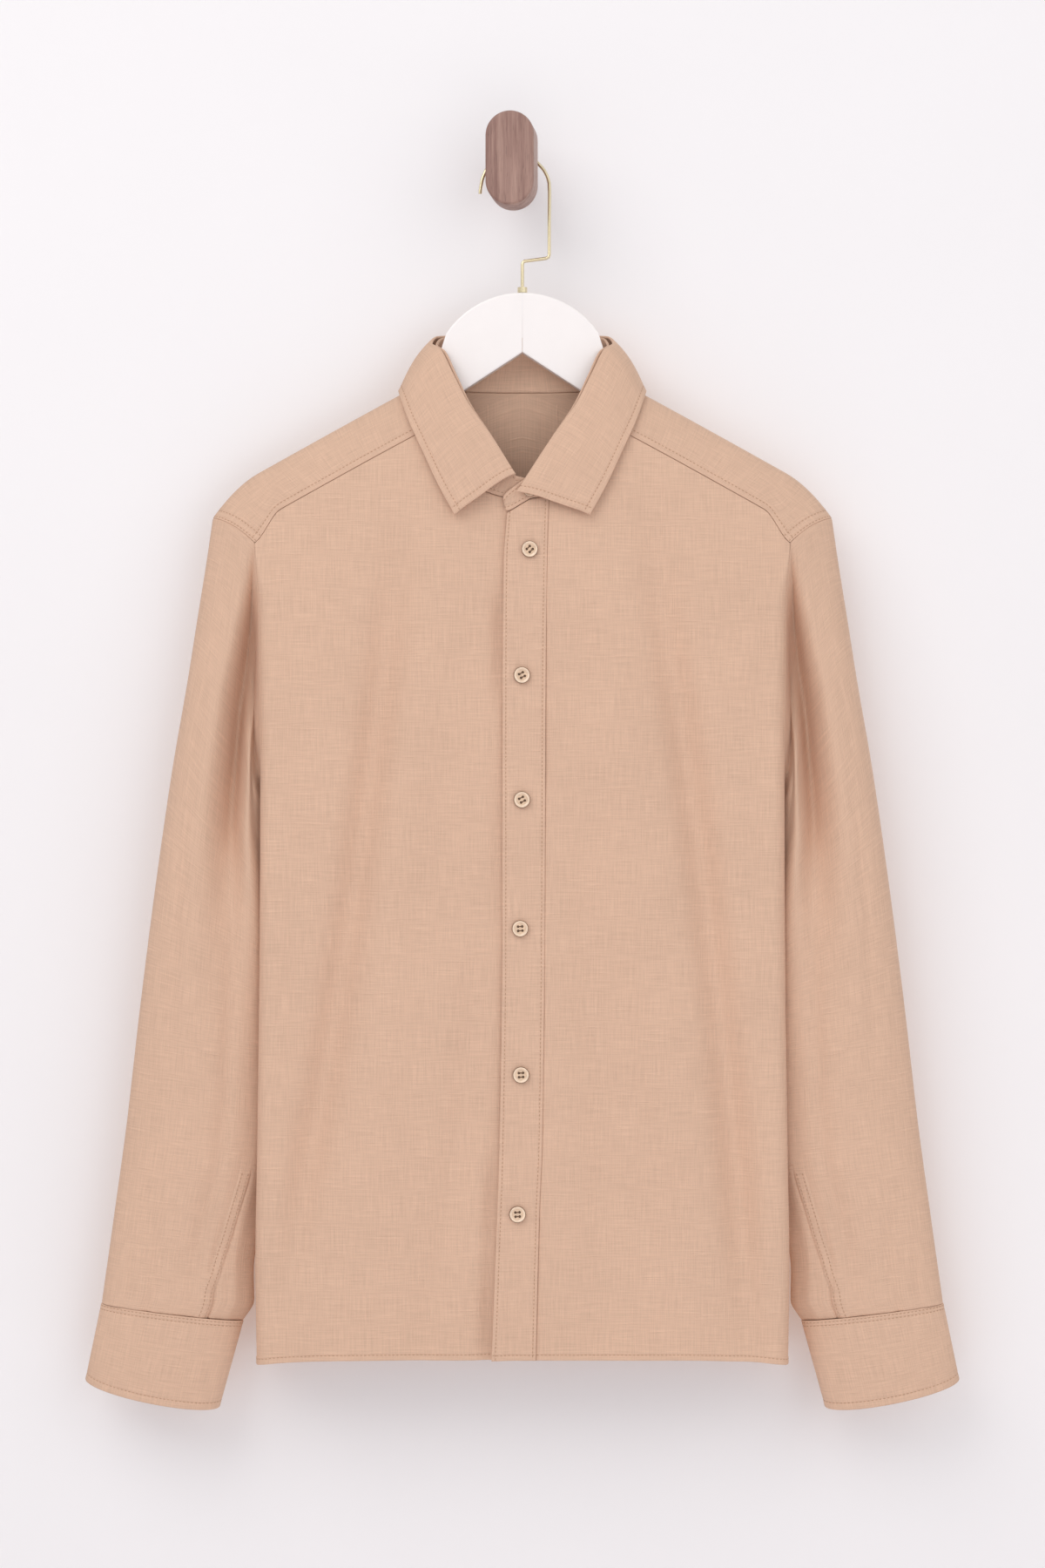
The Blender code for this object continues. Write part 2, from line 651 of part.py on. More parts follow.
def make_cuff(name, side, finish):
    """A cuff, buttoned behind."""
    grid = cuff_grid(side, CUFF_ROWS, CUFF_COLUMNS)
    cloth(name, [pulled_in(grid, ("top",))], FIRM_CLOTH, finish)
    return grid


# ---------------------------------------------------------------- collar

# sections of the collar from the centre back round to the centre front
COLLAR_SECTIONS = (
    # run, neck_share (1 at the shoulder, 2 at the centre front), then the fold's and the
    # free edge's across, y and z
    (0.00, 0.0, 0.0000, -0.0225, -0.1310, 0.0000, -0.0190, -0.1800),
    (0.15, 0.29, 0.0260, -0.0230, -0.1305, 0.0360, -0.0195, -0.1800),
    (0.30, 0.555, 0.0480, -0.0265, -0.1300, 0.0660, -0.0225, -0.1790),
    (0.42, 0.80, 0.0640, -0.0340, -0.1315, 0.0840, -0.0300, -0.1770),
    (0.51, 1.0, 0.0680, -0.0455, -0.1380, 0.0932, -0.0450, -0.1750),
    (0.58, 1.25, 0.0615, -0.0570, -0.1440, 0.0915, -0.0560, -0.1810),
    (0.66, 1.44, 0.0520, -0.0655, -0.1630, 0.0860, -0.0645, -0.1970),
    (0.75, 1.66, 0.0410, -0.0710, -0.1850, 0.0785, -0.0700, -0.2140),
    (0.87, 1.885, 0.0230, -0.0775, -0.2110, 0.0640, -0.0770, -0.2450),
    (1.00, 1.997, 0.0050, -0.0815, -0.2400, 0.0490, -0.0790, -0.2720),
)
LEAF_COLUMNS = 14         # on each side of the centre back
LEAF_ROWS = 5
LEAF_SWELL = 0.0035       # how far the leaf stands off the straight line from fold to edge
LEAF_STEP_RUNS = (0.80, 1.0)
LEAF_STEP_DOWN = (0.0000, -0.0005, -0.0085)   # the upper leaf's front corner sits lower
STAND_RUNS = (
    0.0, 0.08, 0.16, 0.24, 0.32, 0.39, 0.45, 0.485, 0.51, 0.53, 0.56, 0.60, 0.65, 0.70,
    0.75, 0.81, 0.87, 0.93, 1.0, 1.06, 1.11, 1.16, 1.22,
)
STAND_PULL = 0.0014
STAND_ROWS = 2
STAND_INSET = 0.0036      # the stand's top edge inside the leaf's fold
STAND_DROP = 0.0010       # and under it
STAND_LIFT = 0.00125      # each end's shift where the two lap at the front
STAND_LAP_RUN = STAND_RUNS[-1]
STAND_LIFT_RUNS = (0.80, 0.97)         # runs over which that shift comes in
STAND_LOW_RISE = 0.0003                # the lap's lower corner ahead of the front's sheet
STAND_HIGH_RISE = 0.0008               # its upper corner ahead of the neck seam
STAND_UNDER_SINK = 0.004               # how far the under end slopes down
STAND_LOW_END = (-0.0122, -0.2690)    # across and z of the upper end's lower corner
STAND_HIGH_END = (-0.0150, -0.2550)   # and of its upper corner


def collar_value(index, run):
    """One column of the collar's table."""
    return column(COLLAR_SECTIONS, 0, index, run)


def neck_seam(run):
    """A point of the neck seam, as across, y and z."""
    share = collar_value(1, run)
    if share <= 1.0:
        across = NECK_HALF_WIDTH * math.sin(share * math.pi / 2)
        z = neck_back_z(across)
        return np.array([across, float(face_y(1, 0, across, z)), z])
    z = ridge_z(NECK_HALF_WIDTH) + (NECK_FRONT_Z - ridge_z(NECK_HALF_WIDTH)) * (share - 1.0)
    across = neck_front_across(z)
    return np.array([across, float(face_y(-1, 0, across, z)), z])


def fold_point(run):
    """A point of the line where the leaf folds over the stand."""
    return np.array([collar_value(index, run) for index in (2, 3, 4)])


def leaf_edge(run):
    """A point of the leaf's free edge."""
    return np.array([collar_value(index, run) for index in (5, 6, 7)])


def stand_column(side, run):
    """Bottom and top of the stand at a run; past 1 it laps over the other side."""
    inside = min(run, 1.0)
    bottom = neck_seam(inside)
    fold = fold_point(inside)
    inward = np.array([-0.5 * fold[0], MID_Y - fold[1], 0.0])
    inward = inward / np.linalg.norm(inward)
    top = fold + inward * STAND_INSET - np.array([0.0, 0.0, STAND_DROP])
    past = smoothstep(0.0, 1.0, (run - 1.0) / (STAND_LAP_RUN - 1.0)) if run > 1.0 else 0.0
    low_y = float(face_y(-1, 0, *STAND_LOW_END)) - STAND_LOW_RISE
    low_end = np.array([STAND_LOW_END[0], low_y, STAND_LOW_END[1]])
    high_end = np.array([STAND_HIGH_END[0], bottom[1] - STAND_HIGH_RISE, STAND_HIGH_END[1]])
    if side < 0:
        low_end[2] = bottom[2]
        high_end[2] = top[2] - STAND_UNDER_SINK
    bottom = bottom + (low_end - bottom) * past
    top = top + (high_end - top) * past
    lift = np.array([0.0, -side * STAND_LIFT * smoothstep(*STAND_LIFT_RUNS, run), 0.0])
    mirror = np.array([side, 1.0, 1.0])
    return (bottom + lift) * mirror, (top + lift) * mirror


def make_stand(finish):
    """The collar stand, from its lapped end on the right round to the one on the left."""
    runs = [-run for run in reversed(STAND_RUNS[1:])] + list(STAND_RUNS)
    pairs = [stand_column(1 if run >= 0.0 else -1, abs(run)) for run in runs]
    shares = np.linspace(0.0, 1.0, STAND_ROWS + 1)
    grid = np.array([[low + (high - low) * share for low, high in pairs] for share in shares])
    cloth("collar_stand", [pulled_in(grid, ("top",), STAND_PULL)], FIRM_CLOTH, finish)


def leaf_column(side, run):
    """Points of the leaf from its fold to its free edge."""
    fold = fold_point(run)
    if side > 0:
        fold = fold + np.array(LEAF_STEP_DOWN) * smoothstep(*LEAF_STEP_RUNS, run)
    edge = leaf_edge(run)
    outward = np.array([edge[0], (edge[1] - MID_Y) * 2.0, 0.0])
    outward = outward / np.linalg.norm(outward) + np.array([0.0, 0.0, 0.6])
    outward = outward / np.linalg.norm(outward)
    points = []
    for share in np.linspace(0.0, 1.0, LEAF_ROWS + 1):
        swell = LEAF_SWELL * math.sin(math.pi * share ** 0.7)
        point = fold + (edge - fold) * share + outward * swell
        points.append(point * np.array([side, 1.0, 1.0]))
    return points


def make_leaf(finish):
    """The collar leaf, from point to point."""
    runs = np.linspace(-1.0, 1.0, 2 * LEAF_COLUMNS + 1)
    grid = np.array([leaf_column(1 if run >= 0.0 else -1, abs(run)) for run in runs])
    cloth("collar_leaf", [grid.transpose(1, 0, 2)], FIRM_CLOTH, finish)


# ---------------------------------------------------------------- buttons

BUTTON_RADIUS = 0.0062
BUTTON_THICKNESS = 0.0024
BUTTON_RIM = 0.0014
BUTTON_HOLE_RADIUS = 0.00085
BUTTON_HOLE_AT = 0.0021
BUTTON_SIDES = 20
SMALL_BUTTON = 0.85       # collar and cuff buttons, as a share of a front button

FRONT_BUTTONS = (
    # across, z, quarter turn in degrees
    (0.0055, -0.2959, 45.0),
    (-0.0003, -0.3901, 28.0),
    (-0.0003, -0.4831, 28.0),
    (-0.0016, -0.5793, 3.0),
    (-0.0010, -0.6885, 3.0),
    (-0.0036, -0.7925, 3.0),
)
COLLAR_BUTTON = (0.0010, -0.2545)
CUFF_BUTTON_RUN = 0.55
CUFF_CURVE = 0.0001       # a cuff button's extra stand-off, because the cuff curves away
CUFF_FINE_ROWS = 20       # grid on which a cuff button's place is read
CUFF_FINE_COLUMNS = 180
CUFF_BUTTON_TURN = 10.0
COLLAR_BUTTON_SHARE = 0.35    # of the stand's lap, where its slope is read
BUTTON_OUTLINE = (
    # share of the radius less a width in metres, share of the thickness
    (0.80, 0.0, 0.0),
    (1.00, 0.0, 0.35),
    (1.00, 0.0, 0.75),
    (1.00, 0.0004, 1.0),
    (1.00, BUTTON_RIM, 1.0),
    (1.00, BUTTON_RIM + 0.0007, 0.68),
    (0.00, 0.0, 0.68),
)


def make_button(name, place, facing, turn, scale, finish):
    """A dished button with four holes, its back at `place` and its face looking along `facing`."""
    body = bmesh.new()
    radius = BUTTON_RADIUS * scale
    thick = BUTTON_THICKNESS * scale
    outline = [(0.0, 0.0)]
    for share, inset, height in BUTTON_OUTLINE:
        outline.append((radius * share - inset, thick * height))
    points = [body.verts.new(Vector((across, 0.0, height))) for across, height in outline]
    edges = [body.edges.new(pair) for pair in zip(points, points[1:])]
    bmesh.ops.spin(
        body, geom=points + edges, cent=(0, 0, 0), axis=(0, 0, 1),
        angle=2.0 * math.pi, steps=BUTTON_SIDES, use_merge=True,
    )
    bmesh.ops.remove_doubles(body, verts=body.verts, dist=1e-6)
    bmesh.ops.recalc_face_normals(body, faces=body.faces)
    mesh = bpy.data.meshes.new(name)
    body.to_mesh(mesh)
    body.free()
    mesh.materials.append(finish)
    made = bpy.data.objects.new(name, mesh)
    bpy.context.scene.collection.objects.link(made)
    upright = Vector((0.0, 0.0, 1.0)).rotation_difference(Vector(facing))
    made.matrix_world = (
        Matrix.Translation(AXIS_AT + Vector(place))
        @ upright.to_matrix().to_4x4()
        @ Matrix.Rotation(math.radians(turn), 4, "Z")
    )
    drill_button(made, scale)
    return made


def drill_button(button, scale):
    """Cut the four sewing holes."""
    drill = bmesh.new()
    for quarter in range(4):
        angle = math.pi / 4 + quarter * math.pi / 2
        hole_at = BUTTON_HOLE_AT * scale
        place = Vector((math.cos(angle) * hole_at, math.sin(angle) * hole_at, 0.0))
        bmesh.ops.create_cone(
            drill, cap_ends=True, segments=6, depth=0.02,
            radius1=BUTTON_HOLE_RADIUS * scale, radius2=BUTTON_HOLE_RADIUS * scale,
            matrix=Matrix.Translation(place),
        )
    mesh = bpy.data.meshes.new(button.name + "_drill")
    drill.to_mesh(mesh)
    drill.free()
    cutter = bpy.data.objects.new(button.name + "_drill", mesh)
    cutter.matrix_world = button.matrix_world
    cutter.hide_render = True
    cutter.display_type = "WIRE"
    bpy.context.scene.collection.objects.link(cutter)
    cut = button.modifiers.new("holes", "BOOLEAN")
    cut.object = cutter
    cut.operation = "DIFFERENCE"


def place_front_buttons(finish):
    """The six buttons down the placket."""
    for number, (across, z, turn) in enumerate(FRONT_BUTTONS, start=1):
        y = float(face_y(-1, 1, across, z)) - OVERLAP_LIFT - (FIRM_CLOTH - CLOTH) / 2.0
        y -= FIRM_CLOTH / 2.0 + GAP
        make_button(f"button_{number}", (across, y, z), (0.0, -1.0, 0.0), turn, 1.0, finish)


def place_collar_button(finish):
    """The button of the collar stand, half under the upper leaf."""
    across, z = COLLAR_BUTTON
    low, high = stand_column(1, 1.0 + (STAND_LAP_RUN - 1.0) * COLLAR_BUTTON_SHARE)
    share = (z - low[2]) / (high[2] - low[2])
    on_stand = low + (high - low) * share
    facing = Vector((high - low)).cross(Vector((1.0, 0.0, 0.0))).normalized()
    if facing.y > 0.0:
        facing.negate()
    place = Vector((across, on_stand[1], z)) + facing * (FIRM_CLOTH / 2.0 + GAP)
    make_button("collar_button", place, facing, 0.0, SMALL_BUTTON, finish)


def place_cuff_button(name, side, finish):
    """The button on a cuff's lap, behind."""
    fine = cuff_grid(side, CUFF_FINE_ROWS, CUFF_FINE_COLUMNS)
    row = round(CUFF_BUTTON_RUN * CUFF_FINE_ROWS)
    col = round(CUFF_LAP / 2.0 / (2.0 * math.pi + CUFF_LAP) * CUFF_FINE_COLUMNS)
    point = Vector(fine[row, col])
    along = Vector(fine[row, col + 1] - fine[row, col - 1])
    down = Vector(fine[row + 1, col] - fine[row - 1, col])
    facing = along.cross(down).normalized()
    if facing.y < 0.0:
        facing.negate()
    rise = FIRM_CLOTH / 2.0 + GAP + CUFF_CURVE
    make_button(name, point + facing * rise, facing, CUFF_BUTTON_TURN, SMALL_BUTTON, finish)


# ---------------------------------------------------------------- hanger, hook and peg

HANGER_THICKNESS = 0.011
HANGER_DOME_RADIUS = 0.0693
HANGER_DOME_TOP = -0.1001
HANGER_ARM_DROP = 0.0058  # the arm's top edge under the ridge of the cloth
HANGER_NECK = ((0.0615, -0.1430), (0.0640, -0.1560), (0.0675, -0.1670))
HANGER_ARM_STOPS = (0.0745, 0.0880, 0.1050, 0.1300, 0.1550, 0.1800, 0.1980)
HANGER_END = ((0.2040, -0.2470), (0.2055, -0.2535), (0.2045, -0.2600), (0.1995, -0.2640))
HANGER_CROOK = (0.0460, -0.1753)
HANGER_NOTCH_Z = -0.1454
HANGER_JOINT = 0.00015    # half the width of the joint between the arms
HANGER_BEVEL = 0.0014

FERRULE_RADIUS = 0.0037
FERRULE_BASE_Z = -0.0998
FERRULE_TOP_Z = -0.0957
WIRE_RADIUS = 0.0013
HOOK_SHANK = (
    (0.0, FERRULE_TOP_Z + GAP),
    (0.0, -0.0785),
    (0.0004, -0.0768),
    (0.0016, -0.0758),
    (0.0178, -0.0736),
    (0.0197, -0.0727),
    (0.0203, -0.0710),
    (0.0203, -0.0450),
    (0.0205, -0.0240),
)
HOOK_CENTRE = (-0.0065, -0.0170)
HOOK_CROWN = (
    # angle in degrees, distance from the hook's centre
    (0.0, 0.0268),
    (20.0, 0.0252),
    (42.0, 0.0238),
    (90.0, 0.0234),
    (150.0, 0.0232),
    (180.0, 0.0245),
    (197.0, 0.0266),
)
HOOK_STEPS = 34

PEG_STEM_RADIUS = 0.011
PEG_HEAD_RADIUS = 0.01825
PEG_HEAD_STRAIGHT = 0.0169     # half the straight part of its sides
PEG_HEAD_DEPTH = 0.032
PEG_HEAD_Y = -0.0648
PEG_HEAD_SINK = 0.0033    # the middle of the head under the shirt's zero height
PEG_HEAD_TURN = math.radians(-6.0)
PEG_BEVEL = 0.0016


def hanger_outline():
    """Outline of one arm, from the top of the joint over the dome to the notch."""
    centre_z = HANGER_DOME_TOP - HANGER_DOME_RADIUS
    outline = []
    for angle in np.radians(np.linspace(90.0, 34.0, 11)):
        outline.append((
            max(HANGER_DOME_RADIUS * math.cos(angle), HANGER_JOINT),
            centre_z + HANGER_DOME_RADIUS * math.sin(angle),
        ))
    outline += list(HANGER_NECK)
    outline += [(stop, float(ridge_z(stop)) - HANGER_ARM_DROP) for stop in HANGER_ARM_STOPS]
    outline += list(HANGER_END)
    outline += [HANGER_CROOK, (HANGER_JOINT, HANGER_NOTCH_Z)]
    return outline


def extruded(name, outline, depth, bevel, keep_sharp, finish):
    """A slab cut to an outline in X and Z, centred on its own origin in Y."""
    body = bmesh.new()
    front = [body.verts.new(Vector((x, -depth / 2.0, z))) for x, z in outline]
    back = [body.verts.new(Vector((x, depth / 2.0, z))) for x, z in outline]
    body.faces.new(front)
    body.faces.new(list(reversed(back)))
    for index in range(len(outline)):
        beside = (index + 1) % len(outline)
        body.faces.new((front[beside], front[index], back[index], back[beside]))
    bmesh.ops.recalc_face_normals(body, faces=body.faces)
    rim = [
        edge for edge in body.edges
        if edge.verts[0].co.y == edge.verts[1].co.y and not keep_sharp(edge)
    ]
    bmesh.ops.bevel(body, geom=rim, offset=bevel, segments=2, profile=0.6, affect="EDGES")
    mesh = bpy.data.meshes.new(name)
    body.to_mesh(mesh)
    body.free()
    mesh.materials.append(finish)
    made = bpy.data.objects.new(name, mesh)
    bpy.context.scene.collection.objects.link(made)
    return made


def make_hanger(finish):
    """The two arms, which meet in a fine joint at the middle."""
    outline = hanger_outline()

    def on_joint(edge):
        """Whether an edge lies on the joint face."""
        return all(abs(vert.co.x) < 2.0 * HANGER_JOINT for vert in edge.verts)

    for name, side in (("hanger_right", -1), ("hanger_left", 1)):
        mirrored = [(side * x, z) for x, z in outline]
        arm = extruded(name, mirrored, HANGER_THICKNESS, HANGER_BEVEL, on_joint, finish)
        arm.location = AXIS_AT + Vector((0.0, MID_Y, 0.0))


def cylinder(name, radius, start, end, sides, finish):
    """A round bar between two points."""
    start = Vector(start)
    end = Vector(end)
    body = bmesh.new()
    bmesh.ops.create_cone(
        body, cap_ends=True, segments=sides, radius1=radius, radius2=radius,
        depth=(end - start).length,
    )
    turn = Vector((0.0, 0.0, 1.0)).rotation_difference(end - start)
    bmesh.ops.rotate(body, verts=body.verts, cent=(0, 0, 0), matrix=turn.to_matrix())
    bmesh.ops.translate(body, verts=body.verts, vec=(start + end) / 2.0)
    mesh = bpy.data.meshes.new(name)
    body.to_mesh(mesh)
    body.free()
    mesh.materials.append(finish)
    made = bpy.data.objects.new(name, mesh)
    bpy.context.scene.collection.objects.link(made)
    return made


def make_hook(finish):
    """The wire hook: a cranked shank, then the crown over the peg's stem."""
    points = list(HOOK_SHANK)
    first, last = HOOK_CROWN[0][0], HOOK_CROWN[-1][0]
    for angle in np.linspace(first, last, HOOK_STEPS):
        reach = float(column(HOOK_CROWN, 0, 1, angle))
        turn = math.radians(angle)
        points.append((HOOK_CENTRE[0] + reach * math.cos(turn), HOOK_CENTRE[1] + reach * math.sin(turn)))
    curve = bpy.data.curves.new("hook", "CURVE")
    curve.dimensions = "3D"
    curve.bevel_depth = WIRE_RADIUS
    curve.bevel_resolution = 3
    curve.use_fill_caps = True
    spline = curve.splines.new("POLY")
    spline.points.add(len(points) - 1)
    for knot, (x, z) in zip(spline.points, points):
        knot.co = (x, 0.0, z, 1.0)
    curve.materials.append(finish)
    made = bpy.data.objects.new("hook", curve)
    made.location = AXIS_AT + Vector((0.0, MID_Y, 0.0))
    bpy.context.scene.collection.objects.link(made)


def make_peg(finish):
    """The wall peg: a round stem, and an oval head turned a little to its left."""
    outline = []
    for start, centre_z in ((0.0, PEG_HEAD_STRAIGHT), (180.0, -PEG_HEAD_STRAIGHT)):
        for angle in np.radians(np.linspace(start, start + 180.0, 15)):
            outline.append((
                PEG_HEAD_RADIUS * math.cos(angle), centre_z + PEG_HEAD_RADIUS * math.sin(angle),
            ))
    head = extruded("peg_head", outline, PEG_HEAD_DEPTH, PEG_BEVEL, lambda edge: False, finish)
    head.location = Vector((0.0, PEG_HEAD_Y, AXIS_AT.z - PEG_HEAD_SINK))
    head.rotation_euler = (0.0, 0.0, PEG_HEAD_TURN)
    reach = PEG_HEAD_Y + PEG_HEAD_DEPTH / 2.0 / math.cos(PEG_HEAD_TURN) + GAP
    stem = cylinder("peg_stem", PEG_STEM_RADIUS, (0.0, 0.0, 0.0), (0.0, reach, 0.0), 32, finish)
    for vert in stem.data.vertices:
        if vert.co.y < reach / 2.0:
            vert.co.y += vert.co.x * math.tan(PEG_HEAD_TURN)


# ---------------------------------------------------------------- the whole part

def main():
    """Build every piece."""
    for old in list(bpy.data.objects):
        bpy.data.objects.remove(old, do_unlink=True)

    linen = material("linen", (0.68, 0.46, 0.34), 0.9)
    shell = material("pearl_button", (0.78, 0.62, 0.50), 0.3)
    paint = material("white_paint", (0.88, 0.86, 0.84), 0.4)
    gold = material("pale_gold", (0.83, 0.72, 0.48), 0.25, 1.0)
    walnut = material("walnut", (0.26, 0.16, 0.13), 0.6)

    make_front("front_right", -1, linen)
    make_front("front_left", 1, linen)
    make_placket(linen)
    make_back(linen)
    make_yoke(linen)
    for name, side in (("right", -1), ("left", 1)):
        make_sleeve(f"sleeve_{name}", side, linen)
        make_cuff(f"cuff_{name}", side, linen)
        place_cuff_button(f"cuff_button_{name}", side, shell)
    make_stand(linen)
    make_leaf(linen)
    place_front_buttons(shell)
    place_collar_button(shell)

    make_hanger(paint)
    base = AXIS_AT + Vector((0.0, MID_Y, 0.0))
    foot = base + Vector((0.0, 0.0, FERRULE_BASE_Z))
    top = base + Vector((0.0, 0.0, FERRULE_TOP_Z))
    cylinder("ferrule", FERRULE_RADIUS, foot, top, 20, gold)
    make_hook(gold)
    make_peg(walnut)


main()
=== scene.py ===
"""Looks of a buttoned linen shirt on a hanger, on a wall peg: cloth, stitching, metal and wood.

Metres, +Z up, the front faces -Y and the wall is the plane Y = 0.  The cloth is worked out about
the shirt's own upright axis: `across` is the distance from that axis and `z` the height above the
middle of the peg's head.  Right and left are the wearer's, so right is -X.
"""

import logging
import math
from dataclasses import dataclass
from enum import Enum, IntEnum
from typing import Callable, Iterable, Sequence

import bmesh
import bpy
import numpy as np
from mathutils import Matrix, Vector


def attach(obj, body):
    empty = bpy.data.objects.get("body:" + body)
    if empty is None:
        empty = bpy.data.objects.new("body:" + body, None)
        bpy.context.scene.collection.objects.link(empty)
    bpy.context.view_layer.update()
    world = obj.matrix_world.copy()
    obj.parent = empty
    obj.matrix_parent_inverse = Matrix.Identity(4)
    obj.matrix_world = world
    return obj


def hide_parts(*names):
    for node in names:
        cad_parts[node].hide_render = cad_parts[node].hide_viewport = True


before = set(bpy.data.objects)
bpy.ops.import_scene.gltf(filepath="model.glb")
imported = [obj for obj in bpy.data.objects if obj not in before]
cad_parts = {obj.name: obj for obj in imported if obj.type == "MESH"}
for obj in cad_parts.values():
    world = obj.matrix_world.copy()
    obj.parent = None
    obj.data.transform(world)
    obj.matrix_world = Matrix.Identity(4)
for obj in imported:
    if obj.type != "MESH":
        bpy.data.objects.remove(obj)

log = logging.getLogger("linen_shirt")

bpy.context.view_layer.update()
AXIS_AT = np.array([0.0080, 0.0, 0.0062])
MID_Y = -0.045
FULL_TURN = 2.0 * math.pi
HALF_BODY = 0.2
TINY = 1e-12


class Face(Enum):
    """Which sheet of the body a point is on."""

    FRONT = -1
    BACK = 1


class Side(Enum):
    """The wearer's right or left, with the sign of X on that side."""

    RIGHT = -1
    LEFT = 1


class Slot(Enum):
    """Material slots of the record."""

    LINEN = "linen"
    PEARL = "pearl_button"
    PAINT = "white_paint"
    GOLD = "pale_gold"
    WALNUT = "walnut"


# ---------------------------------------------------------------- curves and tables

def smoothstep(low: float, high: float, value: np.ndarray) -> np.ndarray:
    """Ease from 0 to 1.

    Args:
        low: Where the rise starts.
        high: Where it ends.
        value: Where to read it.

    Returns:
        The eased share at each value.
    """
    t = np.clip((value - low) / (high - low), 0.0, 1.0)
    return t * t * (3.0 - 2.0 * t)


def read_column(rows: Sequence[Sequence[float]], index: int, at: np.ndarray) -> np.ndarray:
    """Read a column of a table whose first column is its key, through a monotone cubic.

    Args:
        rows: The table's rows.
        index: Which column to read.
        at: Where to read it.

    Returns:
        The column's value at each place.
    """
    ordered = sorted((row[0], row[index]) for row in rows)
    knots = np.array([row[0] for row in ordered])
    values = np.array([row[1] for row in ordered])
    steps = np.diff(knots)
    rates = np.diff(values) / steps
    slopes = np.zeros(len(knots))
    slopes[0] = rates[0]
    slopes[-1] = rates[-1]
    same_way = rates[:-1] * rates[1:] > 0.0
    safe = np.where(same_way, rates[:-1] + rates[1:], 1.0)
    slopes[1:-1] = np.where(same_way, 2.0 * rates[:-1] * rates[1:] / safe, 0.0)
    at = np.clip(at, knots[0], knots[-1])
    index_of = np.clip(np.searchsorted(knots, at) - 1, 0, len(steps) - 1)
    t = (at - knots[index_of]) / steps[index_of]
    span = steps[index_of]
    return (
        values[index_of] * (1.0 + 2.0 * t) * (1.0 - t) ** 2
        + slopes[index_of] * span * t * (1.0 - t) ** 2
        + values[index_of + 1] * t * t * (3.0 - 2.0 * t)
        - slopes[index_of + 1] * span * t * t * (1.0 - t)
    )


def row_at(rows: Sequence[Sequence[float]], at: float) -> list[float]:
    """Every column after the first of a table, read at one place."""
    return [float(read_column(rows, index, np.array(at))) for index in range(1, len(rows[0]))]


def crossing(function: Callable[[float], float], low: float, high: float) -> float:
    """Find where a rising function crosses zero, by halving.

    Args:
        function: The function.
        low: A place where it is below zero.
        high: A place where it is above.

    Returns:
        The place between them where it is zero.
    """
    for _ in range(40):
        middle = (low + high) / 2.0
        if function(middle) < 0.0:
            low = middle
        else:
            high = middle
    return (low + high) / 2.0


@dataclass(frozen=True)
class Crease:
    """A soft trough along a slanting line of the cloth, or a swell where its depth is negative.

    The width is half its width, where it has fallen to about a third. The bow is the sideways bulge of
    its line half way along, and sharp is 1 for a round trough and more for one with a tighter bottom.
    """

    start: tuple[float, float]
    end: tuple[float, float]
    width: float
    depth: float
    bow: float = 0.0
    sharp: float = 1.0

    def relief(self, first: np.ndarray, second: np.ndarray) -> np.ndarray:
        """How far the cloth sinks at places of its sheet.

        Args:
            first: First coordinates.
            second: Second coordinates.

        Returns:
            Depth in metres at each place.
        """
        line = np.array(self.end) - np.array(self.start)
        length = float(np.hypot(*line))
        along_axis = line / length
        rise = first - self.start[0], second - self.start[1]
        along = (rise[0] * along_axis[0] + rise[1] * along_axis[1]) / length
        aside = rise[0] * along_axis[1] - rise[1] * along_axis[0]
        aside = aside - self.bow * np.sin(np.clip(along, 0.0, 1.0) * math.pi)
        ends = smoothstep(-0.25, 0.25, along) * (1.0 - smoothstep(0.75, 1.25, along))
        spread = np.abs(aside / self.width) ** (2.0 / self.sharp)
        return self.depth * np.exp(-spread) * ends


def total_relief(creases: Iterable[Crease], first: np.ndarray, second: np.ndarray) -> np.ndarray:
    """Sum of several creases at places of a sheet.

    Args:
        creases: The creases.
        first: First coordinates.
        second: Second coordinates.

    Returns:
        Depth in metres at each place.
    """
    relief = np.zeros(np.broadcast(first, second).shape)
    for crease in creases:
        relief = relief + crease.relief(first, second)
    return relief


def ripple(first: np.ndarray, second: np.ndarray, waves: Sequence[Sequence[float]]) -> np.ndarray:
    """Faint unevenness of hung cloth, as a sum of long waves.

    Args:
        first: First coordinates.
        second: Second coordinates.
        waves: Rows of height, waves a metre each way, and phase.

    Returns:
        Height in metres at each place.
    """
    height = np.zeros(np.broadcast(first, second).shape)
    for amount, across_rate, down_rate, phase in waves:
        height = height + amount * np.sin(
            FULL_TURN * (first * across_rate + second * down_rate) + phase
        )
    return height


# ---------------------------------------------------------------- the body's form

BODY_WIDTHS = (
    # z, half_width, side_tuck
    (-0.291, 0.2014, 0.000),
    (-0.330, 0.1983, 0.003),
    (-0.400, 0.1970, 0.006),
    (-0.466, 0.1965, 0.009),
    (-0.520, 0.1965, 0.014),
    (-0.740, 0.1985, 0.014),
    (-0.830, 0.2000, 0.008),
    (-0.910, 0.1990, 0.004),
)

PLACKET_EDGES = (
    # z, free_edge, seam
    (-0.258, -0.0115, 0.0200),
    (-0.295, -0.0140, 0.0188),
    (-0.390, -0.0148, 0.0176),
    (-0.579, -0.0150, 0.0168),
    (-0.738, -0.0172, 0.0150),
    (-0.792, -0.0190, 0.0128),
    (-0.905, -0.0232, 0.0100),
)

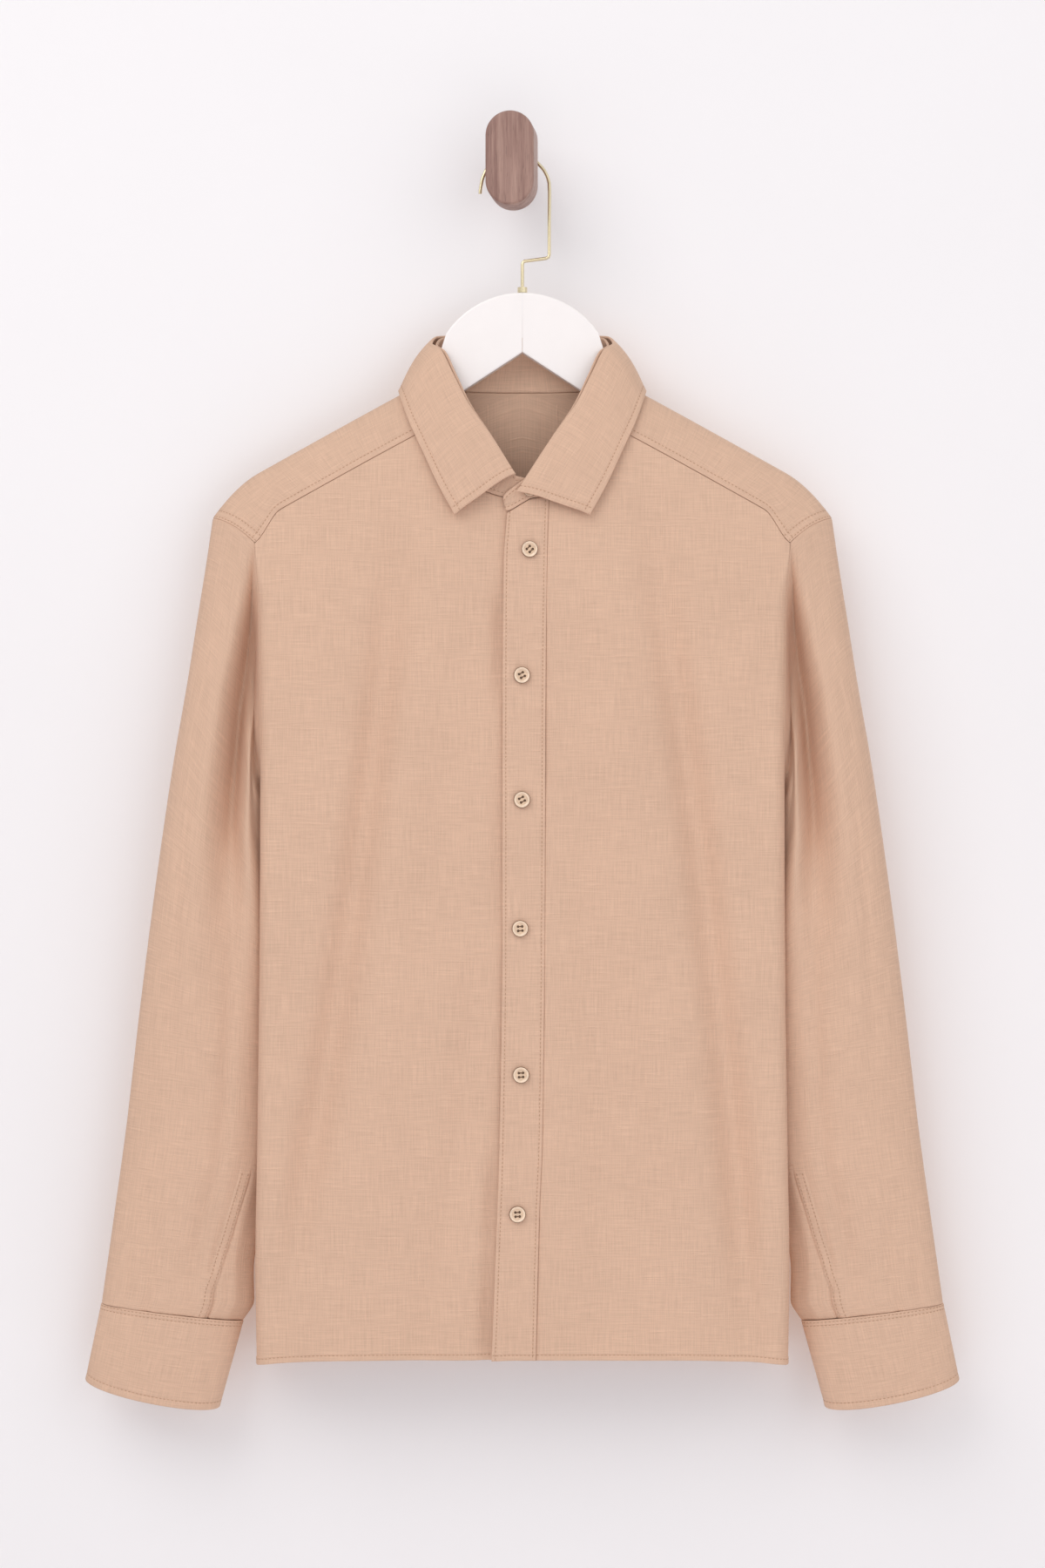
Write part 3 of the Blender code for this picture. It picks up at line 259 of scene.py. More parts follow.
FRONT_CREASES = {
    Side.RIGHT: (
        Crease((0.098, -0.330), (0.174, -0.830), 0.014, 0.0105, 0.006),
        Crease((0.060, -0.300), (0.120, -0.860), 0.020, -0.0036, -0.008),
        Crease((0.176, -0.300), (0.120, -0.420), 0.010, 0.0012, 0.004),
        Crease((0.190, -0.330), (0.165, -0.560), 0.012, 0.0015, -0.004),
        Crease((0.035, -0.600), (0.075, -0.890), 0.012, 0.0026, 0.006),
        Crease((0.186, -0.640), (0.178, -0.860), 0.011, -0.0016),
        Crease((0.0185, -0.330), (0.0190, -0.405), 0.0050, 0.0026, 0.0008),
        Crease((0.0190, -0.460), (0.0185, -0.600), 0.0045, 0.0012, -0.0006),
        Crease((0.0215, -0.745), (0.0275, -0.915), 0.0055, 0.0030, -0.0010),
    ),
    Side.LEFT: (
        Crease((0.104, -0.330), (0.170, -0.875), 0.014, 0.0115, -0.006),
        Crease((0.062, -0.320), (0.128, -0.800), 0.021, -0.0040, 0.007),
        Crease((0.180, -0.305), (0.128, -0.400), 0.010, 0.0011, -0.004),
        Crease((0.188, -0.350), (0.170, -0.590), 0.013, 0.0014, 0.005),
        Crease((0.040, -0.520), (0.062, -0.840), 0.012, 0.0024, -0.005),
        Crease((0.190, -0.680), (0.176, -0.890), 0.012, -0.0015),
    ),
}
BACK_CREASES = (
    Crease((-0.030, -0.330), (-0.060, -0.760), 0.016, 0.0050, 0.006),
    Crease((0.052, -0.340), (0.078, -0.860), 0.018, 0.0056, -0.008),
    Crease((-0.130, -0.350), (-0.168, -0.800), 0.016, 0.0070),
    Crease((0.142, -0.350), (0.172, -0.700), 0.015, 0.0064),
    Crease((0.000, -0.420), (0.012, -0.890), 0.028, -0.0022),
    Crease((-0.100, -0.400), (-0.118, -0.880), 0.026, -0.0020),
)
CLOTH_WAVES = (
    # height, waves a metre across, waves a metre down, phase
    (0.00035, 9.0, 2.2, 0.4),
    (0.00030, -5.5, 4.6, 2.1),
    (0.00022, 14.0, -3.1, 4.0),
    (0.00016, 6.0, 11.0, 1.2),
)


@dataclass(frozen=True)
class SideFold:
    """How a sheet turns round the body's side, at some heights.

    Flat and limit are path lengths from the middle: where the flat of the sheet ends, and where the
    armhole or the side seam lies. Past the fold, a wall goes in under the sheet by the tuck.
    """

    flat: np.ndarray
    radius: np.ndarray
    edge_y: np.ndarray
    wall: np.ndarray
    tuck: np.ndarray
    limit: np.ndarray


@dataclass(frozen=True)
class BodyForm:
    """Surface of the hung body, and the lines its seams follow.

    Places are in metres, and a drop is measured down from the ridge of the shoulders. Droop and bow are
    per metre. The edge names are those of the soft fold at the body's side: its radius low down and at
    the shoulder, the depths below the peg between which it grows, how far the cloth turns round it at
    the armhole, and the share of the depth lost there.
    """

    front_depth: float = 0.034
    back_depth: float = 0.029
    depth_fall: float = 0.090
    slope: float = 0.565
    neck_point: tuple[float, float] = (0.093, -0.178)
    neck_softness: float = 0.030
    neck_width: float = 0.076
    neck_high: float = -0.174
    neck_low: float = -0.258
    shoulder_end: float = 0.2337
    droop_at: float = 0.199
    droop: float = 12.0
    yoke_drop: float = 0.038
    yoke_corner: float = 0.201
    yoke_corner_drop: float = 0.0525
    yoke_back: float = -0.276
    yoke_back_bow: float = 0.60
    yoke_back_corner: float = 0.2012
    armpit: float = -0.466
    armhole_curl: float = 0.034
    hem: float = -0.9020
    hem_dip: float = 0.0050
    edge_round: float = 0.010
    edge_crisp: float = 0.0006
    edge_eases: tuple[float, float] = (0.2915, 0.345)
    edge_turn: float = math.radians(75.0)
    edge_fall: float = 0.13
    overlap_lift: float = 0.00078

    def ridge_z(self, across: np.ndarray) -> np.ndarray:
        """Height of the shoulder ridge.

        Args:
            across: Distances from the axis.

        Returns:
            Heights of the ridge.
        """
        reach = np.hypot(across, self.neck_softness) - math.hypot(self.neck_point[0], self.neck_softness)
        droop = self.droop * np.clip(across - self.droop_at, 0.0, None) ** 2
        return self.neck_point[1] - self.slope * reach - droop

    def flat_y(self, face: Face, across: np.ndarray, z: np.ndarray) -> np.ndarray:
        """Depth of a sheet before its creases.

        Args:
            face: Front or back sheet.
            across: Distances from the axis.
            z: Heights.

        Returns:
            Y at each place.
        """
        drop = np.clip(self.ridge_z(across) - z, 0.0, None)
        reach = np.sqrt(1.0 - np.exp(-drop / self.depth_fall))
        depth = self.front_depth if face is Face.FRONT else self.back_depth
        return MID_Y + face.value * depth * (1.0 - self.edge_fall * (across / HALF_BODY) ** 4) * reach

    def relief(self, face: Face, side: Side, across: np.ndarray, z: np.ndarray) -> np.ndarray:
        """How far a sheet sinks towards the inside, by its creases and its unevenness.

        Args:
            face: Front or back sheet.
            side: The wearer's right or left.
            across: Distances from the axis.
            z: Heights.

        Returns:
            Depth in metres at each place.
        """
        if face is Face.FRONT:
            sunk = total_relief(FRONT_CREASES[side], across, z)
        else:
            sunk = total_relief(BACK_CREASES, side.value * across, z)
        drop = np.clip(self.ridge_z(across) - z, 0.0, None)
        return sunk + ripple(side.value * across, z, CLOTH_WAVES) * smoothstep(0.03, 0.12, drop)

    def face_y(self, face: Face, side: Side, across: np.ndarray, z: np.ndarray) -> np.ndarray:
        """Depth of a sheet with its creases."""
        return self.flat_y(face, across, z) - face.value * self.relief(face, side, across, z)

    def side_fold(self, face: Face, side: Side, z: np.ndarray) -> SideFold:
        """The side fold of a sheet, crisp at the shoulder and rounder below.

        Args:
            face: Front or back sheet.
            side: The wearer's right or left.
            z: Heights.

        Returns:
            The fold at those heights.
        """
        rounding = smoothstep(*self.edge_eases, -z)
        radius = self.edge_crisp + (self.edge_round - self.edge_crisp) * rounding
        flat = read_column(BODY_WIDTHS, 1, z) - radius
        edge_y = self.face_y(face, side, flat, z)
        wall = np.abs(MID_Y - edge_y) - radius
        at_armhole = flat + radius * self.edge_turn
        at_side = flat + radius * math.pi / 2 + wall
        rise = np.clip((z - self.armpit) / self.armhole_curl, 0.0, 1.0)
        limit = at_side - (at_side - at_armhole) * np.sqrt(1.0 - (1.0 - rise) ** 2)
        return SideFold(flat, radius, edge_y, wall, read_column(BODY_WIDTHS, 2, z), limit)

    def points(self, face: Face, side: Side, path: np.ndarray, z: np.ndarray) -> np.ndarray:
        """Points at a path length from the axis: on the sheet, round the side fold, on the wall.

        Args:
            face: Front or back.
            side: The wearer's right or left.
            path: Distance along the cloth from the axis.
            z: Heights.

        Returns:
            Points about the shirt's axis.
        """
        fold = self.side_fold(face, side, z)
        radius, flat = fold.radius, fold.flat
        turn = np.clip((path - flat) / radius, 0.0, math.pi / 2)
        inward = np.clip((path - flat - radius * math.pi / 2) / fold.wall, 0.0, 1.0)
        on_sheet = path <= flat
        across = np.where(on_sheet, path, flat + radius * np.sin(turn))
        across = across - fold.tuck * smoothstep(0.0, 1.0, inward)
        bend = radius * (1.0 - np.cos(turn)) + fold.wall * inward
        y = np.where(on_sheet, self.face_y(face, side, across, z), fold.edge_y - face.value * bend)
        return np.stack([side.value * across, y, z], axis=-1)

    def neck_front_z(self, across: np.ndarray) -> np.ndarray:
        """Height of the front neck seam."""
        share = np.clip(across / self.neck_width, 0.0, 1.0)
        return self.neck_high - (self.neck_high - self.neck_low) * np.sqrt(1.0 - share ** 2)

    def neck_front_across(self, z: np.ndarray) -> np.ndarray:
        """Distance of the front neck seam from the axis."""
        below = np.clip((self.neck_high - z) / (self.neck_high - self.neck_low), 0.0, 1.0)
        return self.neck_width * np.sqrt(1.0 - below ** 2)

    def neck_back_z(self, across: np.ndarray) -> np.ndarray:
        """Height of the back neck seam."""
        share = np.clip(across / self.neck_width, 0.0, 1.0)
        return self.neck_high + (self.ridge_z(self.neck_width) - self.neck_high) * share ** 4

    def yoke_front_drop(self, across: np.ndarray) -> np.ndarray:
        """Drop of the front yoke seam below the ridge, deeper where the sleeve pulls it."""
        pull = smoothstep(0.182, self.yoke_corner, across)
        return self.yoke_drop + (self.yoke_corner_drop - self.yoke_drop) * pull

    def yoke_back_drop(self, across: np.ndarray) -> np.ndarray:
        """Drop of the back yoke seam below the ridge."""
        return self.ridge_z(across) - self.yoke_back + self.yoke_back_bow * across ** 2

    def front_top(self, across: np.ndarray) -> np.ndarray:
        """Top of a front: the neck seam, then the yoke seam.

        Args:
            across: Distances from the axis.

        Returns:
            Heights of the top.
        """
        yoke_seam = self.ridge_z(across) - self.yoke_front_drop(across)
        low = np.minimum(self.neck_front_z(across), yoke_seam)
        return np.where(across < self.neck_width, low, yoke_seam)

    def back_top(self, across: np.ndarray) -> np.ndarray:
        """Height of the back yoke seam."""
        return self.ridge_z(across) - self.yoke_back_drop(across)

    def yoke_meets_neck(self) -> float:
        """Distance from the axis at which the front yoke seam meets the neck seam."""
        return crossing(
            lambda across: float(self.neck_front_z(across) - self.ridge_z(across) + self.yoke_drop),
            0.060, self.neck_width,
        )

    def hem_z(self, across: np.ndarray) -> np.ndarray:
        """Height of the hem."""
        return self.hem - self.hem_dip * (across / HALF_BODY) ** 6

    def ridge_point(self, side: Side, across: np.ndarray, drop: np.ndarray) -> np.ndarray:
        """Points a drop below the ridge, to the front where it is negative.

        Args:
            side: The wearer's right or left.
            across: Distances from the axis.
            drop: Drops below the ridge.

        Returns:
            Points about the shirt's axis.
        """
        z = self.ridge_z(across) - np.abs(drop)
        front = self.flat_y(Face.FRONT, across, z)
        back = self.flat_y(Face.BACK, across, z)
        return np.stack([side.value * across, np.where(drop < 0.0, front, back), z], axis=-1)


FORM = BodyForm()


# ---------------------------------------------------------------- finishes

class NodeBoard:
    """Short way to wire a material's nodes."""

    def __init__(self, material: bpy.types.Material) -> None:
        """Start from the material's own Principled node.

        Args:
            material: The material to wire.
        """
        material.use_nodes = True
        self.tree = material.node_tree
        self.shader = self.tree.nodes["Principled BSDF"]

    def add(self, kind: str, links: dict[str, object] | None = None, **settings: object) -> bpy.types.Node:
        """Add a node.

        Args:
            kind: Node type without its "ShaderNode" start.
            links: What each named input takes: a socket to link, or a value.
            settings: Properties of the node.

        Returns:
            The node.
        """
        node = self.tree.nodes.new("ShaderNode" + kind)
        for key, value in settings.items():
            setattr(node, key, value)
        for key, value in (links or {}).items():
            self.feed(node, key, value)
        return node

    def feed(self, node: bpy.types.Node, key: str | int, value: object) -> None:
        """Link a socket into an input, or set the input's value.

        Args:
            node: The node.
            key: Its input.
            value: A socket or a value.
        """
        if isinstance(value, bpy.types.NodeSocket):
            self.tree.links.new(value, node.inputs[key])
        else:
            node.inputs[key].default_value = value

    def noise(self, at: object, scale: Sequence[float], detail: float, rough: float = 0.5) -> object:
        """Noise of 0 to 1 with its own scale each way.

        Args:
            at: Coordinates.
            scale: Noise a metre each way.
            detail: How many finer layers it has.
            rough: How strong they are.

        Returns:
            The noise.
        """
        placed = self.add("Mapping", {"Vector": at, "Scale": scale})
        made = self.add("TexNoise", {
            "Vector": placed.outputs["Vector"], "Scale": 1.0, "Detail": detail, "Roughness": rough,
        })
        return made.outputs["Fac"]

    def spread(self, value: object, low: float, high: float, to: Sequence[float]) -> object:
        """Map a value from one range to another, clamped."""
        made = self.add("MapRange", {
            "Value": value, "From Min": low, "From Max": high, "To Min": to[0], "To Max": to[1],
        })
        return made.outputs["Result"]

    def math(self, how: str, first: object, second: object) -> object:
        """Two values put together."""
        made = self.add("Math", {0: first, 1: second}, operation=how)
        return made.outputs["Value"]

    def tint(self, colour: object, by: object) -> object:
        """A colour times a grey value.

        Args:
            colour: The colour.
            by: The grey value.

        Returns:
            The product.
        """
        grey = self.add("CombineColor", {"Red": by, "Green": by, "Blue": by})
        made = self.add("Mix", {"Factor": 1.0}, data_type="RGBA", blend_type="MULTIPLY")
        self.feed(made, 6, colour)
        self.feed(made, 7, grey.outputs["Color"])
        return made.outputs[2]

    def blend(self, share: object, first: object, second: object) -> object:
        """A mix of two colours.

        Args:
            share: Share of the second.
            first: First colour.
            second: Second colour.

        Returns:
            The mix.
        """
        made = self.add("Mix", {"Factor": share}, data_type="RGBA")
        self.feed(made, 6, first)
        self.feed(made, 7, second)
        return made.outputs[2]

    def bump(self, height: object, distance: float, strength: float) -> object:
        """A bumped normal."""
        made = self.add("Bump", {"Height": height, "Distance": distance, "Strength": strength})
        return made.outputs["Normal"]


def linear(red: float, green: float, blue: float) -> tuple[float, float, float, float]:
    """An sRGB colour of 0 to 255 as a linear one.

    Args:
        red: Red.
        green: Green.
        blue: Blue.

    Returns:
        Red, green, blue and an alpha of 1.
    """
    def one(value: float) -> float:
        """One channel."""
        share = value / 255.0
        return share / 12.92 if share <= 0.04045 else ((share + 0.055) / 1.055) ** 2.4
    return (one(red), one(green), one(blue), 1.0)


@dataclass(frozen=True)
class LinenFinish:
    """Plain-woven linen with slubs both ways, read from the cloth's own coordinates.

    A weft or a warp is the noise across, down and through the cloth, per metre, that makes the threads
    of that way.
    """

    colour: tuple[float, float, float]
    slub: float = 0.125
    weft: tuple[float, float, float] = (46.0, 1150.0, 40.0)
    warp: tuple[float, float, float] = (1250.0, 40.0, 40.0)
    thick_weft: tuple[float, float, float] = (34.0, 520.0, 25.0)
    thick_warp: tuple[float, float, float] = (560.0, 26.0, 25.0)

    def make(self, name: str) -> bpy.types.Material:
        """Make the material.

        Args:
            name: Its name.

        Returns:
            The material.
        """
        made = bpy.data.materials.new(name)
        board = NodeBoard(made)
        at = board.add("Attribute", attribute_name="cloth_at", attribute_type="GEOMETRY").outputs["Vector"]
        weft, warp = (board.noise(at, scale, 2.0, 0.6) for scale in (self.weft, self.warp))
        slub_scales = (self.thick_weft, self.thick_warp)
        thick_weft, thick_warp = (board.noise(at, scale, 1.0) for scale in slub_scales)
        cloudy = board.noise(at, (14.0, 14.0, 14.0), 2.0)
        across = board.spread(weft, 0.3, 0.7, (-0.5, 0.5))
        down = board.spread(warp, 0.3, 0.7, (-0.5, 0.5))
        threads = board.math("ADD", across, down)
        slubs = board.math(
            "ADD",
            board.spread(thick_weft, 0.60, 0.74, (0.0, 1.0)),
            board.spread(thick_warp, 0.62, 0.76, (0.0, 0.8)),
        )
        tone = board.math("MULTIPLY", threads, self.slub)
        tone = board.math("ADD", tone, board.math("MULTIPLY", slubs, self.slub * 0.5))
        tone = board.math("ADD", tone, board.spread(cloudy, 0.3, 0.7, (0.978, 1.014)))
        shader = board.shader
        board.feed(shader, "Base Color", board.tint(linear(*self.colour), tone))
        shader.inputs["Roughness"].default_value = 0.88
        shader.inputs["Specular IOR Level"].default_value = 0.22
        shader.inputs["Sheen Weight"].default_value = 0.10
        shader.inputs["Sheen Roughness"].default_value = 0.45
        height = board.math("ADD", board.math("MULTIPLY", threads, 0.6), slubs)
        board.feed(shader, "Normal", board.bump(height, 0.00022, 0.75))
        return made


@dataclass(frozen=True)
class PlainFinish:
    """One colour with a little unevenness, for thread, paint, metal and pearl.

    The cloud is how much its lightness wanders, and its scale is in clouds a metre.
    """

    colour: tuple[float, float, float]
    roughness: float
    metallic: float = 0.0
    cloud: float = 0.03
    cloud_scale: float = 60.0
    coat: float = 0.0

    def make(self, name: str) -> bpy.types.Material:
        """Make the material.

        Args:
            name: Its name.

        Returns:
            The material.
        """
        made = bpy.data.materials.new(name)
        board = NodeBoard(made)
        at = board.add("TexCoord").outputs["Object"]
        cloud = board.noise(at, (self.cloud_scale,) * 3, 3.0)
        tone = board.spread(cloud, 0.3, 0.7, (1.0 - self.cloud, 1.0 + self.cloud))
        board.feed(board.shader, "Base Color", board.tint(linear(*self.colour), tone))
        board.shader.inputs["Roughness"].default_value = self.roughness
        board.shader.inputs["Metallic"].default_value = self.metallic
        board.shader.inputs["Coat Weight"].default_value = self.coat
        board.shader.inputs["Coat Roughness"].default_value = 0.15
        return made


@dataclass(frozen=True)
class WalnutFinish:
    """Oiled walnut with upright grain and short dark pores."""

    light: tuple[float, float, float]
    dark: tuple[float, float, float]

    def make(self, name: str) -> bpy.types.Material:
        """Make the material.

        Args:
            name: Its name.

        Returns:
            The material.
        """
        made = bpy.data.materials.new(name)
        board = NodeBoard(made)
        at = board.add("TexCoord").outputs["Object"]
        bands = board.noise(at, (210.0, 210.0, 13.0), 3.0, 0.6)
        fine = board.noise(at, (1100.0, 1100.0, 34.0), 2.0, 0.6)
        pores = board.noise(at, (1500.0, 1500.0, 110.0), 1.0)
        late = board.spread(bands, 0.34, 0.66, (0.0, 1.0))
        wood = board.blend(late, linear(*self.light), linear(*self.dark))
        streaks = board.spread(fine, 0.3, 0.7, (0.90, 1.06))
        tone = board.math("ADD", streaks, board.spread(pores, 0.62, 0.70, (0.0, -0.22)))
        board.feed(board.shader, "Base Color", board.tint(wood, tone))
        board.shader.inputs["Roughness"].default_value = 0.52
        board.shader.inputs["Specular IOR Level"].default_value = 0.35
        height = board.math("SUBTRACT", fine, board.spread(pores, 0.60, 0.70, (0.0, 1.0)))
        board.feed(board.shader, "Normal", board.bump(height, 0.00012, 0.6))
        return made


# ---------------------------------------------------------------- cloth sheets and stitching

class Edge(Enum):
    """An edge of a grid of points."""

    TOP = "top"
    BOTTOM = "bottom"
    LEFT = "left"
    RIGHT = "right"


# rows of points that round every edge, the reach of that rounding and what stays flat as shares of
# the thickness, and the rows beside a line of stitching
RIM_ROWS = (0.00018, 0.00045, 0.0010)
RIM_REACH = 0.6
RIM_FLAT = 0.22
DENT_ROWS = (-0.0009, -0.0004, 0.0, 0.0004, 0.0009)
CLOSEST_ROW = 0.0001
DENT_WIDTH = 0.0007
STITCH_DENT = 0.00035
STITCH_PITCH = 0.0030
STITCH_LENGTH = 0.0020
STITCH_RADIUS = 0.00030
STITCH_SIDES = 5
STITCH_RINGS = (
    # place along the stitch, rise off the cloth, share of the radius
    (0.00, -0.00025, 0.35),
    (0.15, 0.00004, 0.90),
    (0.50, 0.00012, 1.00),
    (0.85, 0.00004, 0.90),
    (1.00, -0.00025, 0.35),
)


@dataclass(frozen=True)
class EdgeFinish:
    """How a sheet ends along an edge.

    The profile's rows are a distance in from the edge and the outer surface's lift there. Stitches are
    the distances in of its stitching, and the pull is how far the sheet stops short of its seam line.
    """

    profile: tuple[tuple[float, float], ...] = ()
    stitches: tuple[float, ...] = ()
    pull: float = 0.0

    def distances(self) -> list[float]:
        """Every distance at which the grid needs a row.

        Returns:
            Distances in from the edge, in order.
        """
        wanted = set(RIM_ROWS)
        wanted.update(row[0] for row in self.profile)
        wanted.update(line + beside for line in self.stitches for beside in DENT_ROWS)
        return sorted(distance for distance in wanted if distance > CLOSEST_ROW)

    def lift(self, distance: np.ndarray) -> np.ndarray:
        """Outward lift at distances from the edge, with a dent along each line of stitching.

        Args:
            distance: Distances in from the edge.

        Returns:
            Lift in metres at each.
        """
        lift = np.zeros_like(distance)
        if self.profile:
            lift = np.interp(distance, [row[0] for row in self.profile], [row[1] for row in self.profile])
        for line in self.stitches:
            lift = lift - STITCH_DENT * np.exp(-((distance - line) / DENT_WIDTH) ** 2)
        return lift


class StitchRun:
    """Many short stitches gathered into one mesh."""

    def __init__(self) -> None:
        """Start empty."""
        self.points: list[np.ndarray] = []
        self.faces: list[tuple[int, ...]] = []

    def along(self, line: np.ndarray, outward: np.ndarray, pitch: float = STITCH_PITCH) -> None:
        """Lay stitches along a line.

        Args:
            line: Points of the line on the cloth's surface.
            outward: Direction away from the cloth at each point.
            pitch: Distance from one stitch to the next.
        """
        steps = np.linalg.norm(np.diff(line, axis=0), axis=1)
        run = np.concatenate([[0.0], np.cumsum(steps)])
        count = int(run[-1] / pitch)
        for index in range(count):
            middle = (index + 0.5) * pitch
            ends = [middle - STITCH_LENGTH / 2.0, middle, middle + STITCH_LENGTH / 2.0]
            path = np.stack([np.interp(ends, run, line[:, axis]) for axis in range(3)], axis=1)
            up = np.array([np.interp(middle, run, outward[:, axis]) for axis in range(3)])
            self.stitch(path, up / (np.linalg.norm(up) + TINY))

    def stitch(self, path: np.ndarray, up: np.ndarray) -> None:
        """Add one stitch: a short thread that dives into the cloth at both ends.

        Args:
            path: Its two ends with its middle between them.
            up: Direction away from the cloth.
        """
        ahead = path[2] - path[0]
        ahead = ahead / (np.linalg.norm(ahead) + TINY)
        aside = np.cross(ahead, up)
        start = sum(len(block) for block in self.points)
        for along, rise, share in STITCH_RINGS:
            place = np.array([np.interp(along, (0.0, 0.5, 1.0), path[:, axis]) for axis in range(3)])
            for corner in range(STITCH_SIDES):
                angle = corner * FULL_TURN / STITCH_SIDES
                spoke = (aside * math.cos(angle) + up * math.sin(angle)) * STITCH_RADIUS * share
                self.points.append((place + up * rise + spoke)[None, :])
        for ring in range(len(STITCH_RINGS) - 1):
            low = start + ring * STITCH_SIDES
            high = low + STITCH_SIDES
            for corner in range(STITCH_SIDES):
                beside = (corner + 1) % STITCH_SIDES
                self.faces.append((low + corner, low + beside, high + beside, high + corner))

    def build(self, name: str, finish: bpy.types.Material) -> bpy.types.Object:
        """Make the mesh.

        Args:
            name: Name of the new object.
            finish: Its material.

        Returns:
            The object.
        """
        made = link_mesh(name, np.concatenate(self.points), self.faces, finish)
        return made


def add_object(name: str, data: bpy.types.ID) -> bpy.types.Object:
    """Put a new object into the scene.

    Args:
        name: Name of the new object.
        data: What it shows.

    Returns:
        The object.
    """
    made = bpy.data.objects.new(name, data)
    bpy.context.scene.collection.objects.link(made)
    return made


def link_mesh(
    name: str, points: np.ndarray, faces: Sequence[Sequence[int]], finish: bpy.types.Material,
) -> bpy.types.Object:
    """Make a smooth mesh in the row's frame from points about the shirt's axis.

    Args:
        name: Name of the new object.
        points: Points about the axis.
        faces: Point numbers of each face.
        finish: Its material.

    Returns:
        The object.
    """
    mesh = bpy.data.meshes.new(name)
    mesh.from_pydata((points + AXIS_AT).tolist(), [], [tuple(face) for face in faces])
    mesh.polygons.foreach_set("use_smooth", [True] * len(mesh.polygons))
    mesh.materials.append(finish)
    mesh.update()
    return add_object(name, mesh)


def link_shape(
    name: str, shape: bmesh.types.BMesh, pose: Matrix, finish: bpy.types.Material,
) -> bpy.types.Object:
    """Turn a worked shape into an object in the row's frame, and free the shape.

    Args:
        name: Name of the new object.
        shape: The shape, which is freed.
        pose: Where it goes, in the row's frame.
        finish: Its material.

    Returns:
        The object.
    """
    mesh = bpy.data.meshes.new(name)
    shape.transform(pose)
    shape.to_mesh(mesh)
    shape.free()
    mesh.materials.append(finish)
    return add_object(name, mesh)


def add_rod(
    shape: bmesh.types.BMesh, pose: Matrix, length: float, radii: tuple[float, float], sides: int,
) -> None:
    """Add a capped rod along a pose's Z to a shape."""
    bmesh.ops.create_cone(
        shape, cap_ends=True, segments=sides, depth=length, radius1=radii[0], radius2=radii[1],
        matrix=pose,
    )


def report(piece: bpy.types.Object) -> None:
    """Log a finished piece."""
    log.info("%s: %d faces", piece.name, len(piece.data.polygons))


# how far a sheet's own rows stay from the rows that its edge needs, and from one another
OLD_ROW_GAP = 0.0006
OLD_ROW_STEP = 0.0003


def insert_rows(grid: np.ndarray, distances: Sequence[float]) -> np.ndarray:
    """Add rows to a grid at distances down from its first row, and keep the old ones clear of them.

    Args:
        grid: Points, rows by columns.
        distances: Where the new rows go, in order.

    Returns:
        The grid with its new rows.
    """
    steps = np.linalg.norm(np.diff(grid, axis=0), axis=-1)
    run = np.concatenate([np.zeros((1, grid.shape[1])), np.cumsum(steps, axis=0)])
    typical = run.mean(axis=1)
    reach = distances[-1] + OLD_ROW_GAP
    kept = [index for index in range(1, len(grid)) if typical[index] > reach]
    places = [np.full(grid.shape[1], distance) for distance in distances]
    places += [np.maximum(run[index], reach + order * OLD_ROW_STEP) for order, index in enumerate(kept)]
    rows = [grid[0]]
    for place in places:
        rows.append(np.array([
            [np.interp(place[col], run[:, col], grid[:, col, axis]) for axis in range(3)]
            for col in range(grid.shape[1])
        ]))
    return np.array(rows)


def turned(grid: np.ndarray, edge: Edge) -> np.ndarray:
    """The grid turned so that the named edge is its first row.

    Args:
        grid: Points, rows by columns.
        edge: The edge to put first.

    Returns:
        A view of the same points.
    """
    if edge in (Edge.LEFT, Edge.RIGHT):
        grid = grid.swapaxes(0, 1)
    return grid[::-1] if edge in (Edge.BOTTOM, Edge.RIGHT) else grid


def turned_back(grid: np.ndarray, edge: Edge) -> np.ndarray:
    """Undo `turned`."""
    grid = grid[::-1] if edge in (Edge.BOTTOM, Edge.RIGHT) else grid
    return grid.swapaxes(0, 1) if edge in (Edge.LEFT, Edge.RIGHT) else grid


